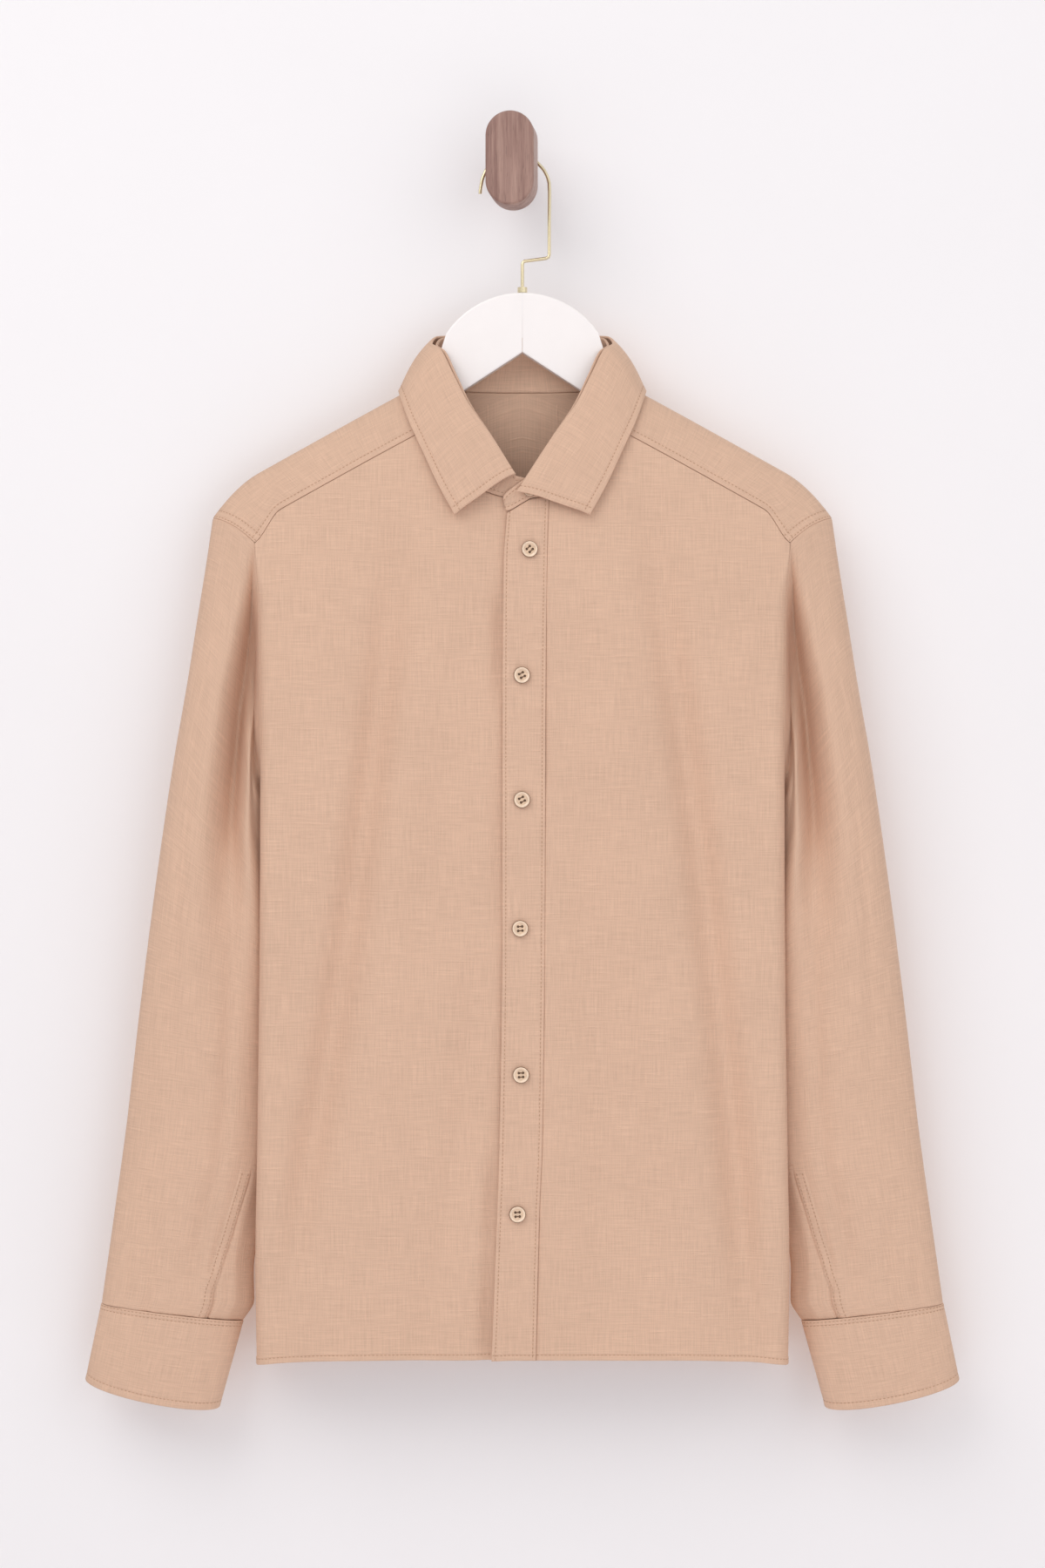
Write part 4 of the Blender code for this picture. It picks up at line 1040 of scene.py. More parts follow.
class ClothSheet:
    """A cloth wall built from a grid of points on its middle surface."""

    def __init__(
        self,
        grid: np.ndarray,
        thickness: float,
        edges: dict[Edge, EdgeFinish],
        outward: Callable[[np.ndarray], np.ndarray],
        wrap: bool = False,
        plumb: bool = False,
    ) -> None:
        """Work out the two skins.

        Args:
            grid: Points, rows by columns.
            thickness: Thickness of the wall.
            edges: How it ends at each free or sewn edge.
            outward: Gives a rough outward direction for each point.
            wrap: Whether its columns close into a tube.
            plumb: Whether its threads hang upright, and don't follow its edges.
        """
        for edge, finish in edges.items():
            rows = turned(grid, edge)
            if finish.pull > 0.0:
                step = rows[1] - rows[0]
                length = np.linalg.norm(step, axis=-1, keepdims=True)
                rows = np.concatenate([(rows[0] + step / length * finish.pull)[None], rows[1:]])
            grid = turned_back(insert_rows(rows, finish.distances()), edge)
        self.grid = grid
        self.wrap = wrap
        self.plumb = plumb
        self.edges = edges
        self.normal = self.normals(outward)
        half = np.full(grid.shape[:2], thickness / 2.0)
        lift = np.zeros(grid.shape[:2])
        distances = {}
        for edge, finish in edges.items():
            rows = turned(grid, edge)
            steps = np.linalg.norm(np.diff(rows, axis=0), axis=-1)
            distance = np.concatenate([np.zeros((1, rows.shape[1])), np.cumsum(steps, axis=0)])
            distances[edge] = distance
            near = np.clip(distance / (thickness * RIM_REACH), 0.0, 1.0)
            rounded = np.sqrt(1.0 - (1.0 - near) ** 2)
            turned(half, edge)[...] *= RIM_FLAT + (1.0 - RIM_FLAT) * rounded
            turned(lift, edge)[...] += finish.lift(distance)
        self.outer = grid + self.normal * (half + lift)[..., None]
        self.inner = grid - self.normal * half[..., None]
        self.distances = distances

    def normals(self, outward: Callable[[np.ndarray], np.ndarray]) -> np.ndarray:
        """Outward directions of the middle surface.

        Args:
            outward: Gives a rough outward direction for each point.

        Returns:
            A unit direction at each point.
        """
        grid = self.grid
        if self.wrap:
            across = np.roll(grid, -1, axis=1) - np.roll(grid, 1, axis=1)
        else:
            across = np.gradient(grid, axis=1)
        down = np.gradient(grid, axis=0)
        normal = np.cross(across, down)
        normal = normal / (np.linalg.norm(normal, axis=-1, keepdims=True) + TINY)
        if (normal * outward(grid)).sum() < 0.0:
            normal = -normal
        return normal

    def weave(self) -> np.ndarray:
        """The cloth's own coordinates at each point, along and down its threads.

        Returns:
            Metres across, metres down and zero at each point.
        """
        grid = self.grid
        if self.plumb:
            return np.stack([grid[..., 0], grid[..., 2], np.zeros_like(grid[..., 0])], axis=-1)
        steps = np.linalg.norm(np.diff(grid, axis=1), axis=-1).mean(axis=0)
        across = np.concatenate([[0.0], np.cumsum(steps)])
        steps = np.linalg.norm(np.diff(grid, axis=0), axis=-1).mean(axis=1)
        down = np.concatenate([[0.0], np.cumsum(steps)])
        across, down = np.meshgrid(across, down)
        return np.stack([across, down, np.zeros_like(down)], axis=-1)

    def cut(self) -> tuple[float, float, float]:
        """Widest row, longest column and area of the sheet laid flat.

        Returns:
            Width and length in metres, and area in square metres.
        """
        closing = self.grid[:, :1] if self.wrap else self.grid[:, :0]
        wide = np.linalg.norm(np.diff(self.grid, axis=1, append=closing), axis=-1)
        down = np.linalg.norm(np.diff(self.grid, axis=0), axis=-1)
        area = (wide[:-1, :down.shape[1]] * (down if self.wrap else down[:, :-1])).sum()
        return float(wide.sum(axis=1).max()), float(down.sum(axis=0).max()), float(area)

    def sew(self, stitches: StitchRun) -> None:
        """Lay this sheet's lines of stitching.

        Args:
            stitches: The run that takes them.
        """
        for edge, finish in self.edges.items():
            outer = turned(self.outer, edge)
            normal = turned(self.normal, edge)
            distance = self.distances[edge].mean(axis=1)
            for line in finish.stitches:
                row = int(np.argmin(np.abs(distance - line)))
                stitches.along(outer[row], normal[row])


# the inner skin's own threads, and how close points count as one or as on the axis
INNER_THREADS = np.array([0.0, 0.0, 0.5])
JOIN_REACH = 2e-6
ON_AXIS = 1e-6


def build_sheets(
    name: str, sheets: Sequence[ClothSheet], finish: bpy.types.Material,
) -> bpy.types.Object:
    """Make one piece of several sheets, joined where their points meet.

    Args:
        name: Name of the new object.
        sheets: Its sheets.
        finish: Its material.

    Returns:
        The object.
    """
    points: list[np.ndarray] = []
    weave: list[np.ndarray] = []
    faces: list[tuple[int, ...]] = []
    for sheet in sheets:
        rows, columns = sheet.grid.shape[:2]
        start = sum(len(block) for block in points)
        points += [sheet.outer.reshape(-1, 3), sheet.inner.reshape(-1, 3)]
        threads = sheet.weave().reshape(-1, 3)
        weave += [threads, threads + INNER_THREADS]
        numbers = start + np.arange(rows * columns).reshape(rows, columns)
        under = numbers + rows * columns
        if sheet.wrap:
            numbers = np.concatenate([numbers, numbers[:, :1]], axis=1)
            under = np.concatenate([under, under[:, :1]], axis=1)
        faces += quads(numbers) + quads(under[:, ::-1])
        faces += wall_quads(numbers[0], under[0]) + wall_quads(under[-1], numbers[-1])
        if not sheet.wrap:
            faces += wall_quads(under[:, 0], numbers[:, 0]) + wall_quads(numbers[:, -1], under[:, -1])
    made = link_mesh(name, np.concatenate(points), faces, finish)
    threads = made.data.attributes.new("cloth_at", "FLOAT_VECTOR", "POINT")
    threads.data.foreach_set("vector", np.concatenate(weave).ravel())
    shell = bmesh.new()
    shell.from_mesh(made.data)
    if len(sheets) > 1:
        bmesh.ops.remove_doubles(shell, verts=shell.verts, dist=JOIN_REACH)
        walls = [
            face for face in shell.faces
            if all(abs(corner.co.x - AXIS_AT[0]) < ON_AXIS for corner in face.verts)
        ]
        bmesh.ops.delete(shell, geom=walls, context="FACES")
    bmesh.ops.recalc_face_normals(shell, faces=shell.faces)
    shell.to_mesh(made.data)
    shell.free()
    return made


def quads(numbers: np.ndarray) -> list[tuple[int, ...]]:
    """Faces of a grid of point numbers."""
    corners = (numbers[:-1, :-1], numbers[1:, :-1], numbers[1:, 1:], numbers[:-1, 1:])
    return list(map(tuple, np.stack([corner.ravel() for corner in corners], axis=1).tolist()))


def wall_quads(first: np.ndarray, second: np.ndarray) -> list[tuple[int, ...]]:
    """Faces between two lines of point numbers."""
    return quads(np.stack([first, second]))


def facing_front(points: np.ndarray) -> np.ndarray:
    """Outward direction of a sheet that faces the front."""
    return np.zeros_like(points) + np.array([0.0, -1.0, 0.0])


def facing_back(points: np.ndarray) -> np.ndarray:
    """Outward direction of a sheet that faces the wall."""
    return np.zeros_like(points) + np.array([0.0, 1.0, 0.0])


def from_middle(points: np.ndarray) -> np.ndarray:
    """Outward direction of a tube whose rings are the grid's rows."""
    return points - points.mean(axis=1, keepdims=True)


def facing_up(points: np.ndarray) -> np.ndarray:
    """Outward direction of the yoke, up and away from the plane of the hanger."""
    away = points - np.array([0.0, MID_Y, -0.40])
    return away * np.array([0.3, 1.5, 1.0])


# how far the placket's free edge stands off the front under it
PLACKET_LIFTS = (
    # z, lift
    (-0.905, 0.0024),
    (-0.860, 0.0039),
    (-0.815, 0.0018),
    (-0.780, 0.0033),
    (-0.740, 0.0012),
    (-0.640, 0.0014),
    (-0.580, 0.0006),
    (-0.500, 0.0015),
    (-0.440, 0.0008),
    (-0.395, 0.0019),
    (-0.345, 0.0030),
    (-0.300, 0.0009),
    (-0.262, 0.0006),
)

# how the sheets end: what lies on the cloth there, and where it is stitched
RAW = EdgeFinish()
SEAM = EdgeFinish(((0.0, -0.0002), (0.0012, 0.0)), (), 0.00015)
LAPPED_SEAM = EdgeFinish(((0.0, 0.0002), (0.0060, 0.0002), (0.0080, 0.0)), (0.0046,), 0.00010)
ARMHOLE = EdgeFinish(((0.0, 0.0001), (0.0080, 0.0001), (0.0110, 0.0)), (0.0016, 0.0068))
SLEEVE_HEAD = EdgeFinish(((0.0, -0.0003), (0.0015, 0.0)))
HEM = EdgeFinish(((0.0, 0.0003), (0.0052, 0.0005), (0.0062, 0.0)), (0.0042,))
BAND_EDGE = EdgeFinish(((0.0, 0.0002), (0.0060, 0.0)), (0.0027,))
BAND_SEAM = EdgeFinish(((0.0, 0.0002), (0.0060, 0.0)), (0.0025,))
LEAF_RIM = EdgeFinish(((0.0, 0.0002), (0.0062, 0.0)), (0.0052,))
STAND_RIM = EdgeFinish(((0.0, 0.0001), (0.0040, 0.0)), (0.0030,))
STAND_SEAM = EdgeFinish((), (0.0030,), 0.0003)
CUFF_TOP = EdgeFinish(((0.0, 0.0002), (0.0065, 0.0)), (0.0016, 0.0042))
CUFF_END = EdgeFinish(((0.0, 0.0002), (0.0070, 0.0)), (0.0055,))


# ---------------------------------------------------------------- the body's pieces

@dataclass(frozen=True)
class BodyPanels:
    """Fronts, placket, back and yoke.

    Points and rows are counts of the sheets' grids. The lap of the two fronts fades out between the two
    distances of lift_fade, and ridge_share is the share of the way up to the ridge of the yoke's last
    front row.
    """

    form: BodyForm
    cloth: float = 0.0012
    firm: float = 0.0020
    under_band: float = 0.0040
    lift_fade: tuple[float, float] = (0.022, 0.070)
    flat_points: int = 67
    fold_points: int = 14
    rows_above: int = 61
    rows_below: int = 145
    band_points: tuple[int, int] = (13, 216)
    band_eases: tuple[float, float] = (0.016, 0.04)
    yoke_points: int = 61
    yoke_rows: tuple[int, int] = (18, 49)
    ridge_share: float = 0.98

    def panel(self, face: Face, side: Side, inner_edge: Callable, top_at: Callable) -> np.ndarray:
        """Grid of a front or of half the back.

        Args:
            face: Front or back.
            side: The wearer's right or left.
            inner_edge: Gives the across of its inner edge at heights.
            top_at: Gives the height of its top at distances from the axis.

        Returns:
            Points, rows down and columns from the inner edge to the side seam.
        """
        form = self.form
        flat = self.flat_points
        on_sheet = np.linspace(0.0, 1.0, flat)
        on_fold = np.linspace(0.0, 1.0, self.fold_points + 1)[1:]
        corner_z = top_at(np.array(form.yoke_corner))
        to_armpit = (corner_z - form.armpit) / (corner_z - form.hem_z(HALF_BODY))
        above = (1.0 - np.cos(np.linspace(0.0, math.pi, self.rows_above))) / 2.0 * to_armpit
        below = np.linspace(to_armpit, 1.0, self.rows_below + 1)[1:]

        def path_at(z: np.ndarray) -> np.ndarray:
            """Path lengths of the columns, each at its own height.

            Args:
                z: A height for every column.

            Returns:
                The path length of each.
            """
            part = form.side_fold(face, side, z)
            start = inner_edge(z)
            sheet = start[:flat] + (part.flat - start)[:flat] * on_sheet
            fold = part.flat[flat:] + (part.limit - part.flat)[flat:] * on_fold
            return np.concatenate([sheet, fold])

        count = flat + self.fold_points
        path = path_at(np.full(count, corner_z))
        top = top_at(np.minimum(np.abs(path), form.yoke_corner))
        path = path_at(top)
        top = top_at(np.minimum(np.abs(path), form.yoke_corner))
        foot = form.hem_z(np.abs(path_at(np.full(count, form.hem))).clip(0.0, HALF_BODY))
        rows = []
        for share in np.concatenate([above, below]):
            z = top + (foot - top) * share
            rows.append(form.points(face, side, path_at(z), z))
        return np.array(rows)

    def front(self, side: Side) -> ClothSheet:
        """One front, from its edge at the placket to the armhole and the side seam.

        Args:
            side: The wearer's right or left.

        Returns:
            The sheet.
        """
        def inner_edge(z: np.ndarray) -> np.ndarray:
            """Across of its inner edge."""
            seam = read_column(PLACKET_EDGES, 2, z)
            return seam if side is Side.LEFT else self.under_band - seam

        grid = self.panel(Face.FRONT, side, inner_edge, self.form.front_top)
        parted = 1.0 - smoothstep(*self.lift_fade, np.abs(grid[..., 0]))
        grid[..., 1] -= side.value * self.form.overlap_lift * parted
        edges = {Edge.TOP: SEAM, Edge.BOTTOM: HEM, Edge.RIGHT: SEAM, Edge.LEFT: RAW}
        return ClothSheet(grid, self.cloth, edges, facing_front, plumb=True)

    def back(self) -> ClothSheet:
        """The back, in one piece from armhole to armhole.

        Returns:
            The sheet.
        """
        def centre(z: np.ndarray) -> np.ndarray:
            """Across of the centre back."""
            return np.zeros_like(z)

        halves = [self.panel(Face.BACK, side, centre, self.form.back_top) for side in Side]
        grid = np.concatenate([halves[0][:, ::-1], halves[1][:, 1:]], axis=1)
        edges = {Edge.TOP: SEAM, Edge.BOTTOM: HEM, Edge.LEFT: SEAM, Edge.RIGHT: SEAM}
        return ClothSheet(grid, self.cloth, edges, facing_back, plumb=True)

    def placket_top(self, across: np.ndarray, collar: "Collar") -> np.ndarray:
        """Top of the placket, which follows the stand's slanting lower edge past the centre.

        Args:
            across: Distances from the axis.
            collar: The collar above it.

        Returns:
            Heights of the top.
        """
        start = collar.neck_seam(1.0)[0]
        start_z = self.form.neck_front_z(start)
        low = collar.low_end
        past_centre = start_z + (across - start) * (low[1] - start_z) / (low[0] - start)
        return np.where(across < start, past_centre, self.form.neck_front_z(np.abs(across)))

    def placket(self, collar: "Collar") -> ClothSheet:
        """The band with the buttonholes, over the right front's edge.

        Args:
            collar: The collar above it.

        Returns:
            The sheet.
        """
        form = self.form
        widths, shares = (np.linspace(0.0, 1.0, count) for count in self.band_points)
        ease_across, ease_down = self.band_eases
        rows = []
        for share in shares:
            z = form.neck_low + (form.hem - form.neck_low) * share
            free_edge, seam = row_at(PLACKET_EDGES, z)
            across = free_edge + (seam - free_edge) * widths
            top = self.placket_top(across, collar)
            z = top + (form.hem - top) * share
            lift = float(read_column(PLACKET_LIFTS, 1, np.mean(z)))
            free = 1.0 - smoothstep(0.0, 1.0, (across - free_edge) / ease_across)
            rows.append(self.on_placket(across, z, lift * free * smoothstep(0.0, ease_down, share)))
        edges = {Edge.TOP: SEAM, Edge.BOTTOM: HEM, Edge.LEFT: BAND_EDGE, Edge.RIGHT: BAND_SEAM}
        return ClothSheet(np.array(rows), self.firm, edges, facing_front, plumb=True)

    def on_placket(self, across: np.ndarray, z: np.ndarray, rise: float) -> np.ndarray:
        """Points a rise ahead of the middle of the placket's cloth."""
        ahead = self.form.overlap_lift + (self.firm - self.cloth) / 2.0 + rise
        return np.stack([across, self.form.flat_y(Face.FRONT, np.abs(across), z) - ahead, z], axis=-1)

    def yoke(self) -> list[ClothSheet]:
        """The two halves of the shoulder yoke, in one piece behind the neck."""
        return [self.yoke_half(side) for side in Side]

    def yoke_half(self, side: Side) -> ClothSheet:
        """One half as a sheet whose centre back line stays on the axis.

        Args:
            side: The wearer's right or left.

        Returns:
            The sheet.
        """
        edges = {Edge.TOP: LAPPED_SEAM, Edge.BOTTOM: LAPPED_SEAM, Edge.RIGHT: ARMHOLE}
        sheet = ClothSheet(self.yoke_grid(side), self.cloth, edges, facing_up)
        on_axis = np.abs(sheet.grid[..., 0]) < ON_AXIS
        for skin in (sheet.outer, sheet.inner):
            skin[on_axis, 0] = 0.0
        return sheet

    def yoke_grid(self, side: Side) -> np.ndarray:
        """Grid of half the yoke, from the front seam over the ridge to the back seam.

        Args:
            side: The wearer's right or left.

        Returns:
            Points, rows down and columns from the neck to the armhole.
        """
        form = self.form
        shares = np.linspace(0.0, 1.0, self.yoke_points)
        front_rows, back_rows = self.yoke_rows
        meet = form.yoke_meets_neck()
        meet_z = form.neck_front_z(meet)
        rows = []
        for lift in np.linspace(0.0, self.ridge_share, front_rows):
            start_z = meet_z + (form.ridge_z(form.neck_width) - meet_z) * lift
            start = form.neck_front_across(start_z)
            end = form.yoke_corner + (form.shoulder_end - form.yoke_corner) * lift
            across = start + (end - start) * shares
            drop = -form.yoke_front_drop(across) * (1.0 - lift)
            start_drop = start_z - form.ridge_z(start)
            end_drop = -form.yoke_corner_drop * (1.0 - lift)
            drop = drop + (start_drop - drop[0]) * (1.0 - shares) + (end_drop - drop[-1]) * shares
            rows.append(form.ridge_point(side, across, drop))
        for down in np.linspace(0.0, YOKE_BACK_ROWS[-1][0], back_rows):
            start, start_share, end_share = row_at(YOKE_BACK_ROWS, down)
            start_drop = form.ridge_z(start) - form.neck_back_z(start)
            start_drop = start_drop + (form.yoke_back_drop(0.0) - start_drop) * start_share
            end = form.shoulder_end + (form.yoke_back_corner - form.shoulder_end) * end_share
            across = start + (end - start) * shares
            drop = form.yoke_back_drop(across) * end_share
            end_drop = form.yoke_back_drop(form.yoke_back_corner) * end_share
            drop = drop + (start_drop - drop[0]) * (1.0 - shares) + (end_drop - drop[-1]) * shares
            rows.append(form.ridge_point(side, across, drop))
        return np.array(rows)


YOKE_BACK_ROWS = (
    # row, start_across, share down the centre back, share down the armhole
    (0.0, 0.076, 0.00, 0.00),
    (1.0, 0.072, 0.00, 0.05),
    (2.0, 0.062, 0.00, 0.16),
    (3.0, 0.044, 0.00, 0.31),
    (4.0, 0.022, 0.00, 0.45),
    (5.0, 0.000, 0.00, 0.58),
    (6.0, 0.000, 0.33, 0.72),
    (7.0, 0.000, 0.66, 0.86),
    (8.0, 0.000, 1.00, 1.00),
)


# ---------------------------------------------------------------- sleeves and cuffs

SLEEVE_RINGS = (
    # run, outer_across, outer_z, inner_across, inner_z, front, back, swell, freed
    (0.00, 0.2337, -0.2724, 0.1875, -0.4660, 0.022, 0.020, 0.000, 0.00),
    (0.06, 0.2385, -0.3050, 0.1875, -0.4820, 0.028, 0.025, 0.005, 0.20),
    (0.13, 0.2450, -0.3450, 0.1875, -0.5000, 0.030, 0.026, 0.008, 0.45),
    (0.22, 0.2530, -0.3950, 0.1870, -0.5220, 0.031, 0.026, 0.007, 0.75),
    (0.32, 0.2640, -0.4600, 0.1865, -0.5520, 0.031, 0.026, 0.003, 1.00),
    (0.44, 0.2770, -0.5500, 0.1865, -0.6000, 0.029, 0.025, 0.000, 1.00),
    (0.56, 0.2885, -0.6400, 0.1865, -0.6600, 0.026, 0.023, 0.000, 1.00),
    (0.70, 0.2990, -0.7300, 0.1880, -0.7450, 0.022, 0.021, 0.000, 1.00),
    (0.85, 0.3080, -0.7950, 0.1995, -0.8080, 0.019, 0.019, 0.000, 1.00),
    (0.92, 0.3125, -0.8272, 0.2040, -0.8400, 0.018, 0.018, 0.000, 1.00),
    (0.965, 0.3155, -0.8480, 0.2036, -0.8615, 0.0175, 0.0175, 0.000, 1.00),
    (1.00, 0.3177, -0.8640, 0.2120, -0.8770, 0.017, 0.017, 0.000, 1.00),
)
CUFF_RINGS = (
    # run, outer_across, outer_z, inner_across, inner_z, depth, front_dip
    (0.0, 0.3177, -0.8640, 0.2120, -0.8770, 0.0170, 0.0000),
    (1.0, 0.3298, -0.9220, 0.2300, -0.9420, 0.0165, 0.0055),
)
SLEEVE_VALLEY = (
    # run, turn, width outward and width inward in degrees, depth
    (0.00, 112.0, 14.0, 60.0, 0.000),
    (0.03, 110.0, 14.0, 60.0, 0.009),
    (0.07, 105.0, 13.0, 46.0, 0.021),
    (0.12, 99.0, 13.0, 25.0, 0.031),
    (0.20, 93.0, 13.5, 16.0, 0.036),
    (0.28, 94.0, 15.0, 16.0, 0.031),
    (0.36, 98.0, 18.0, 19.0, 0.019),
    (0.46, 103.0, 21.0, 22.0, 0.010),
    (0.60, 108.0, 24.0, 24.0, 0.004),
    (0.75, 110.0, 26.0, 26.0, 0.000),
)
FELLED_SEAM = (
    # run, turn in degrees
    (0.735, 138.0),
    (0.85, 132.1),
    (0.92, 125.0),
    (0.965, 117.9),
    (1.00, 120.3),
    (1.02, 120.6),
)
# creases of a sleeve: run down it, and turn in radians from its outer edge round the front
SLEEVE_CREASES = (
    Crease((0.30, 0.95), (0.62, 1.15), 0.10, 0.0016, 0.05),
    Crease((0.45, 1.90), (0.95, 1.75), 0.12, 0.0020, -0.06),
    Crease((0.08, 1.10), (0.30, 0.75), 0.09, 0.0010, 0.03),
    Crease((0.60, 2.60), (0.98, 2.40), 0.14, -0.0016, 0.04),
    Crease((0.86, 1.25), (1.02, 1.20), 0.07, 0.0014),
    Crease((0.90, 0.80), (1.03, 0.84), 0.06, 0.0010),
    Crease((0.88, 2.05), (1.02, 2.12), 0.07, 0.0013),
    Crease((0.84, 4.70), (1.03, 4.80), 0.10, 0.0022),
    Crease((0.88, 4.25), (1.03, 4.30), 0.08, 0.0018),
    Crease((0.20, 4.60), (0.72, 4.95), 0.13, 0.0024, 0.06),
    Crease((0.40, 5.40), (0.90, 5.20), 0.12, 0.0018, -0.05),
)


@dataclass(frozen=True)
class SleeveShape:
    """A sleeve with its cuff.

    The fell names are those of the felled seam: dents and crease are each a depth and a width. The back
    valley is a share of the long fold in front. A fullness is how pointed a ring is on that side; less
    is fuller. Turns are in radians, but fine_turns is in degrees.
    """

    form: BodyForm
    cloth: float = 0.0012
    firm: float = 0.0020
    corner_turn: float = math.radians(100.0)
    rings: int = 171
    coarse_points: int = 128
    fine_turns: tuple[float, float] = (112.0, 148.0)
    fine_points: int = 61
    fell_width: float = 0.0064
    fell_rise: float = 0.0010
    fell_stitches: tuple[float, float] = (0.0012, 0.0056)
    fell_dents: tuple[float, float] = (0.0003, 0.0006)
    fell_crease: tuple[float, float] = (0.0006, 0.0008)
    ridge_turn: float = math.radians(142.0)
    ridge_width: float = math.radians(24.0)
    back_valley: float = 0.35
    outer_fullness: float = 0.75
    inner_fullness: float = 1.6
    standoff: float = 0.0002
    lap_turn: float = math.radians(238.0)
    lap: float = math.radians(24.0)
    lap_ease: float = math.radians(50.0)
    lap_lift: float = 0.00125
    cuff_grid_size: tuple[int, int] = (26, 150)

    def armhole(self, side: Side, turns: np.ndarray) -> np.ndarray:
        """The armhole seam, from the shoulder's end round the front to the armpit and back.

        Args:
            side: The wearer's right or left.
            turns: Turns round it from its outer edge, in radians.

        Returns:
            A point of the seam at each turn.
        """
        form = self.form
        points = []
        for turn in turns:
            face = Face.FRONT if turn <= math.pi else Face.BACK
            half = turn if face is Face.FRONT else FULL_TURN - turn
            corner = form.yoke_corner if face is Face.FRONT else form.yoke_back_corner
            drop = form.yoke_corner_drop if face is Face.FRONT else float(form.yoke_back_drop(corner))
            if half <= self.corner_turn:
                share = half / self.corner_turn
                across = np.array(form.shoulder_end + (corner - form.shoulder_end) * share)
                points.append(form.ridge_point(side, across, np.array(face.value * drop * share)))
                continue
            share = math.sin((half - self.corner_turn) / (math.pi - self.corner_turn) * math.pi / 2)
            corner_z = form.ridge_z(corner) - drop
            z = np.array(corner_z + (form.armpit - corner_z) * share)
            points.append(form.points(face, side, form.side_fold(face, side, z).limit, z))
        return np.array(points)

    def profile(self, half: np.ndarray) -> np.ndarray:
        """Fullness of a ring at a turn from its outer edge."""
        power = np.where(half < math.pi / 2, self.outer_fullness, self.inner_fullness)
        return np.clip(np.sin(half), 0.0, 1.0) ** power

    def grid(self, side: Side) -> np.ndarray:
        """Rings from the armhole down, columns round from the outer edge.

        Args:
            side: The wearer's right or left.

        Returns:
            Points, rings by turns.
        """
        turns = self.turns()
        seam = self.armhole(side, turns)
        in_front = turns <= math.pi
        half = np.where(in_front, turns, FULL_TURN - turns)
        share = (1.0 - np.cos(half)) / 2.0
        behind = np.where(in_front, 1.0, -self.back_valley)
        ridge = np.exp(-((half - self.ridge_turn) / self.ridge_width) ** 2)
        beside = smoothstep(math.radians(60.0), self.corner_turn, half)
        first = np.array(SLEEVE_RINGS[0][1:5])
        first_line = first[:2] + (first[2:] - first[:2]) * share[:, None]
        rows = []
        for run in np.linspace(0.0, 1.0, self.rings):
            ring = row_at(SLEEVE_RINGS, run)
            outer, inner, (front, back, swell, freed) = np.array(ring[:2]), np.array(ring[2:4]), ring[4:]
            line = outer + (inner - outer) * share[:, None]
            across = line[:, 0] + (1.0 - freed) * (side.value * seam[:, 0] - first_line[:, 0])
            z = line[:, 1] + (1.0 - freed) * (seam[:, 2] - first_line[:, 1])
            across = across + swell * ridge + self.standoff * beside * (1.0 - freed)
            sunk = self.creased(run, turns)
            full = np.where(in_front, -front, back) * self.profile(half)
            full = full - np.sign(full) * np.minimum(np.abs(sunk), np.abs(full)) * np.sign(sunk)
            y = (MID_Y + full) * freed + seam[:, 1] * (1.0 - freed) + behind * self.valley(run, half)
            y = y - self.felled(run, turns, outer[0] - inner[0])
            rows.append(np.stack([side.value * across, y, z], axis=-1))
        return np.array(rows)

    def creased(self, run: float, turns: np.ndarray) -> np.ndarray:
        """How far a ring sinks by its creases and a slow wave, less so near the armhole."""
        creases = total_relief(SLEEVE_CREASES, np.full_like(turns, run), turns) * smoothstep(0.0, 0.10, run)
        return creases + 0.0005 * np.sin(turns * 3.0 + run * 9.0) * smoothstep(0.05, 0.3, run)

    def valley(self, run: float, half: np.ndarray) -> np.ndarray:
        """Depth of the long fold between the sleeve and the body.

        Args:
            run: Place down it, from 0 at the armhole to 1 at the cuff.
            half: Turns from the outer edge, whichever way round.

        Returns:
            Depth in metres at each turn.
        """
        where, outside, inside, deep = row_at(SLEEVE_VALLEY, run)
        where = math.radians(where)
        wide = np.where(half < where, math.radians(outside), math.radians(inside))
        return deep * np.exp(-((half - where) / wide) ** 2)

    def turns(self) -> np.ndarray:
        """Turns of the columns, closer together under the felled seam.

        Returns:
            The turns in radians, in order.
        """
        coarse = np.linspace(0.0, FULL_TURN, self.coarse_points + 1)[:-1]
        fine = np.radians(np.linspace(*self.fine_turns, self.fine_points))
        apart = (coarse < fine[0] - 0.01) | (coarse > fine[-1] + 0.01)
        return np.sort(np.concatenate([coarse[apart], fine]))

    def felled(self, run: float, turns: np.ndarray, width: float) -> np.ndarray:
        """Rise of the felled seam at a run and turns.

        Args:
            run: Place down it, from 0 at the armhole to 1 at the cuff.
            turns: Turns round it from its outer edge, in radians.
            width: Width of the ring there.

        Returns:
            Rise in metres at each turn.
        """
        start = FELLED_SEAM[0][0]
        if run < start:
            return np.zeros_like(turns)
        outward = (np.cos(turns) - math.cos(self.fell_turn(run))) * width / 2.0
        outward = np.where(turns <= math.pi, outward, -1.0)
        strip = smoothstep(-0.0003, 0.0005, outward)
        strip = strip * (1.0 - smoothstep(self.fell_width, self.fell_width + 0.0012, outward))
        dent, dent_width = self.fell_dents
        dents = sum(np.exp(-((outward - line) / dent_width) ** 2) for line in self.fell_stitches)
        crease, crease_width = self.fell_crease
        beside = np.exp(-((outward + crease_width) / crease_width) ** 2)
        grown = float(smoothstep(start, start + 0.03, np.array(run)))
        return grown * (self.fell_rise * strip - dent * dents - crease * beside)

    def fell_turn(self, run: float) -> float:
        """Turn of the felled seam's inner edge at a run."""
        return math.radians(row_at(FELLED_SEAM, run)[0])

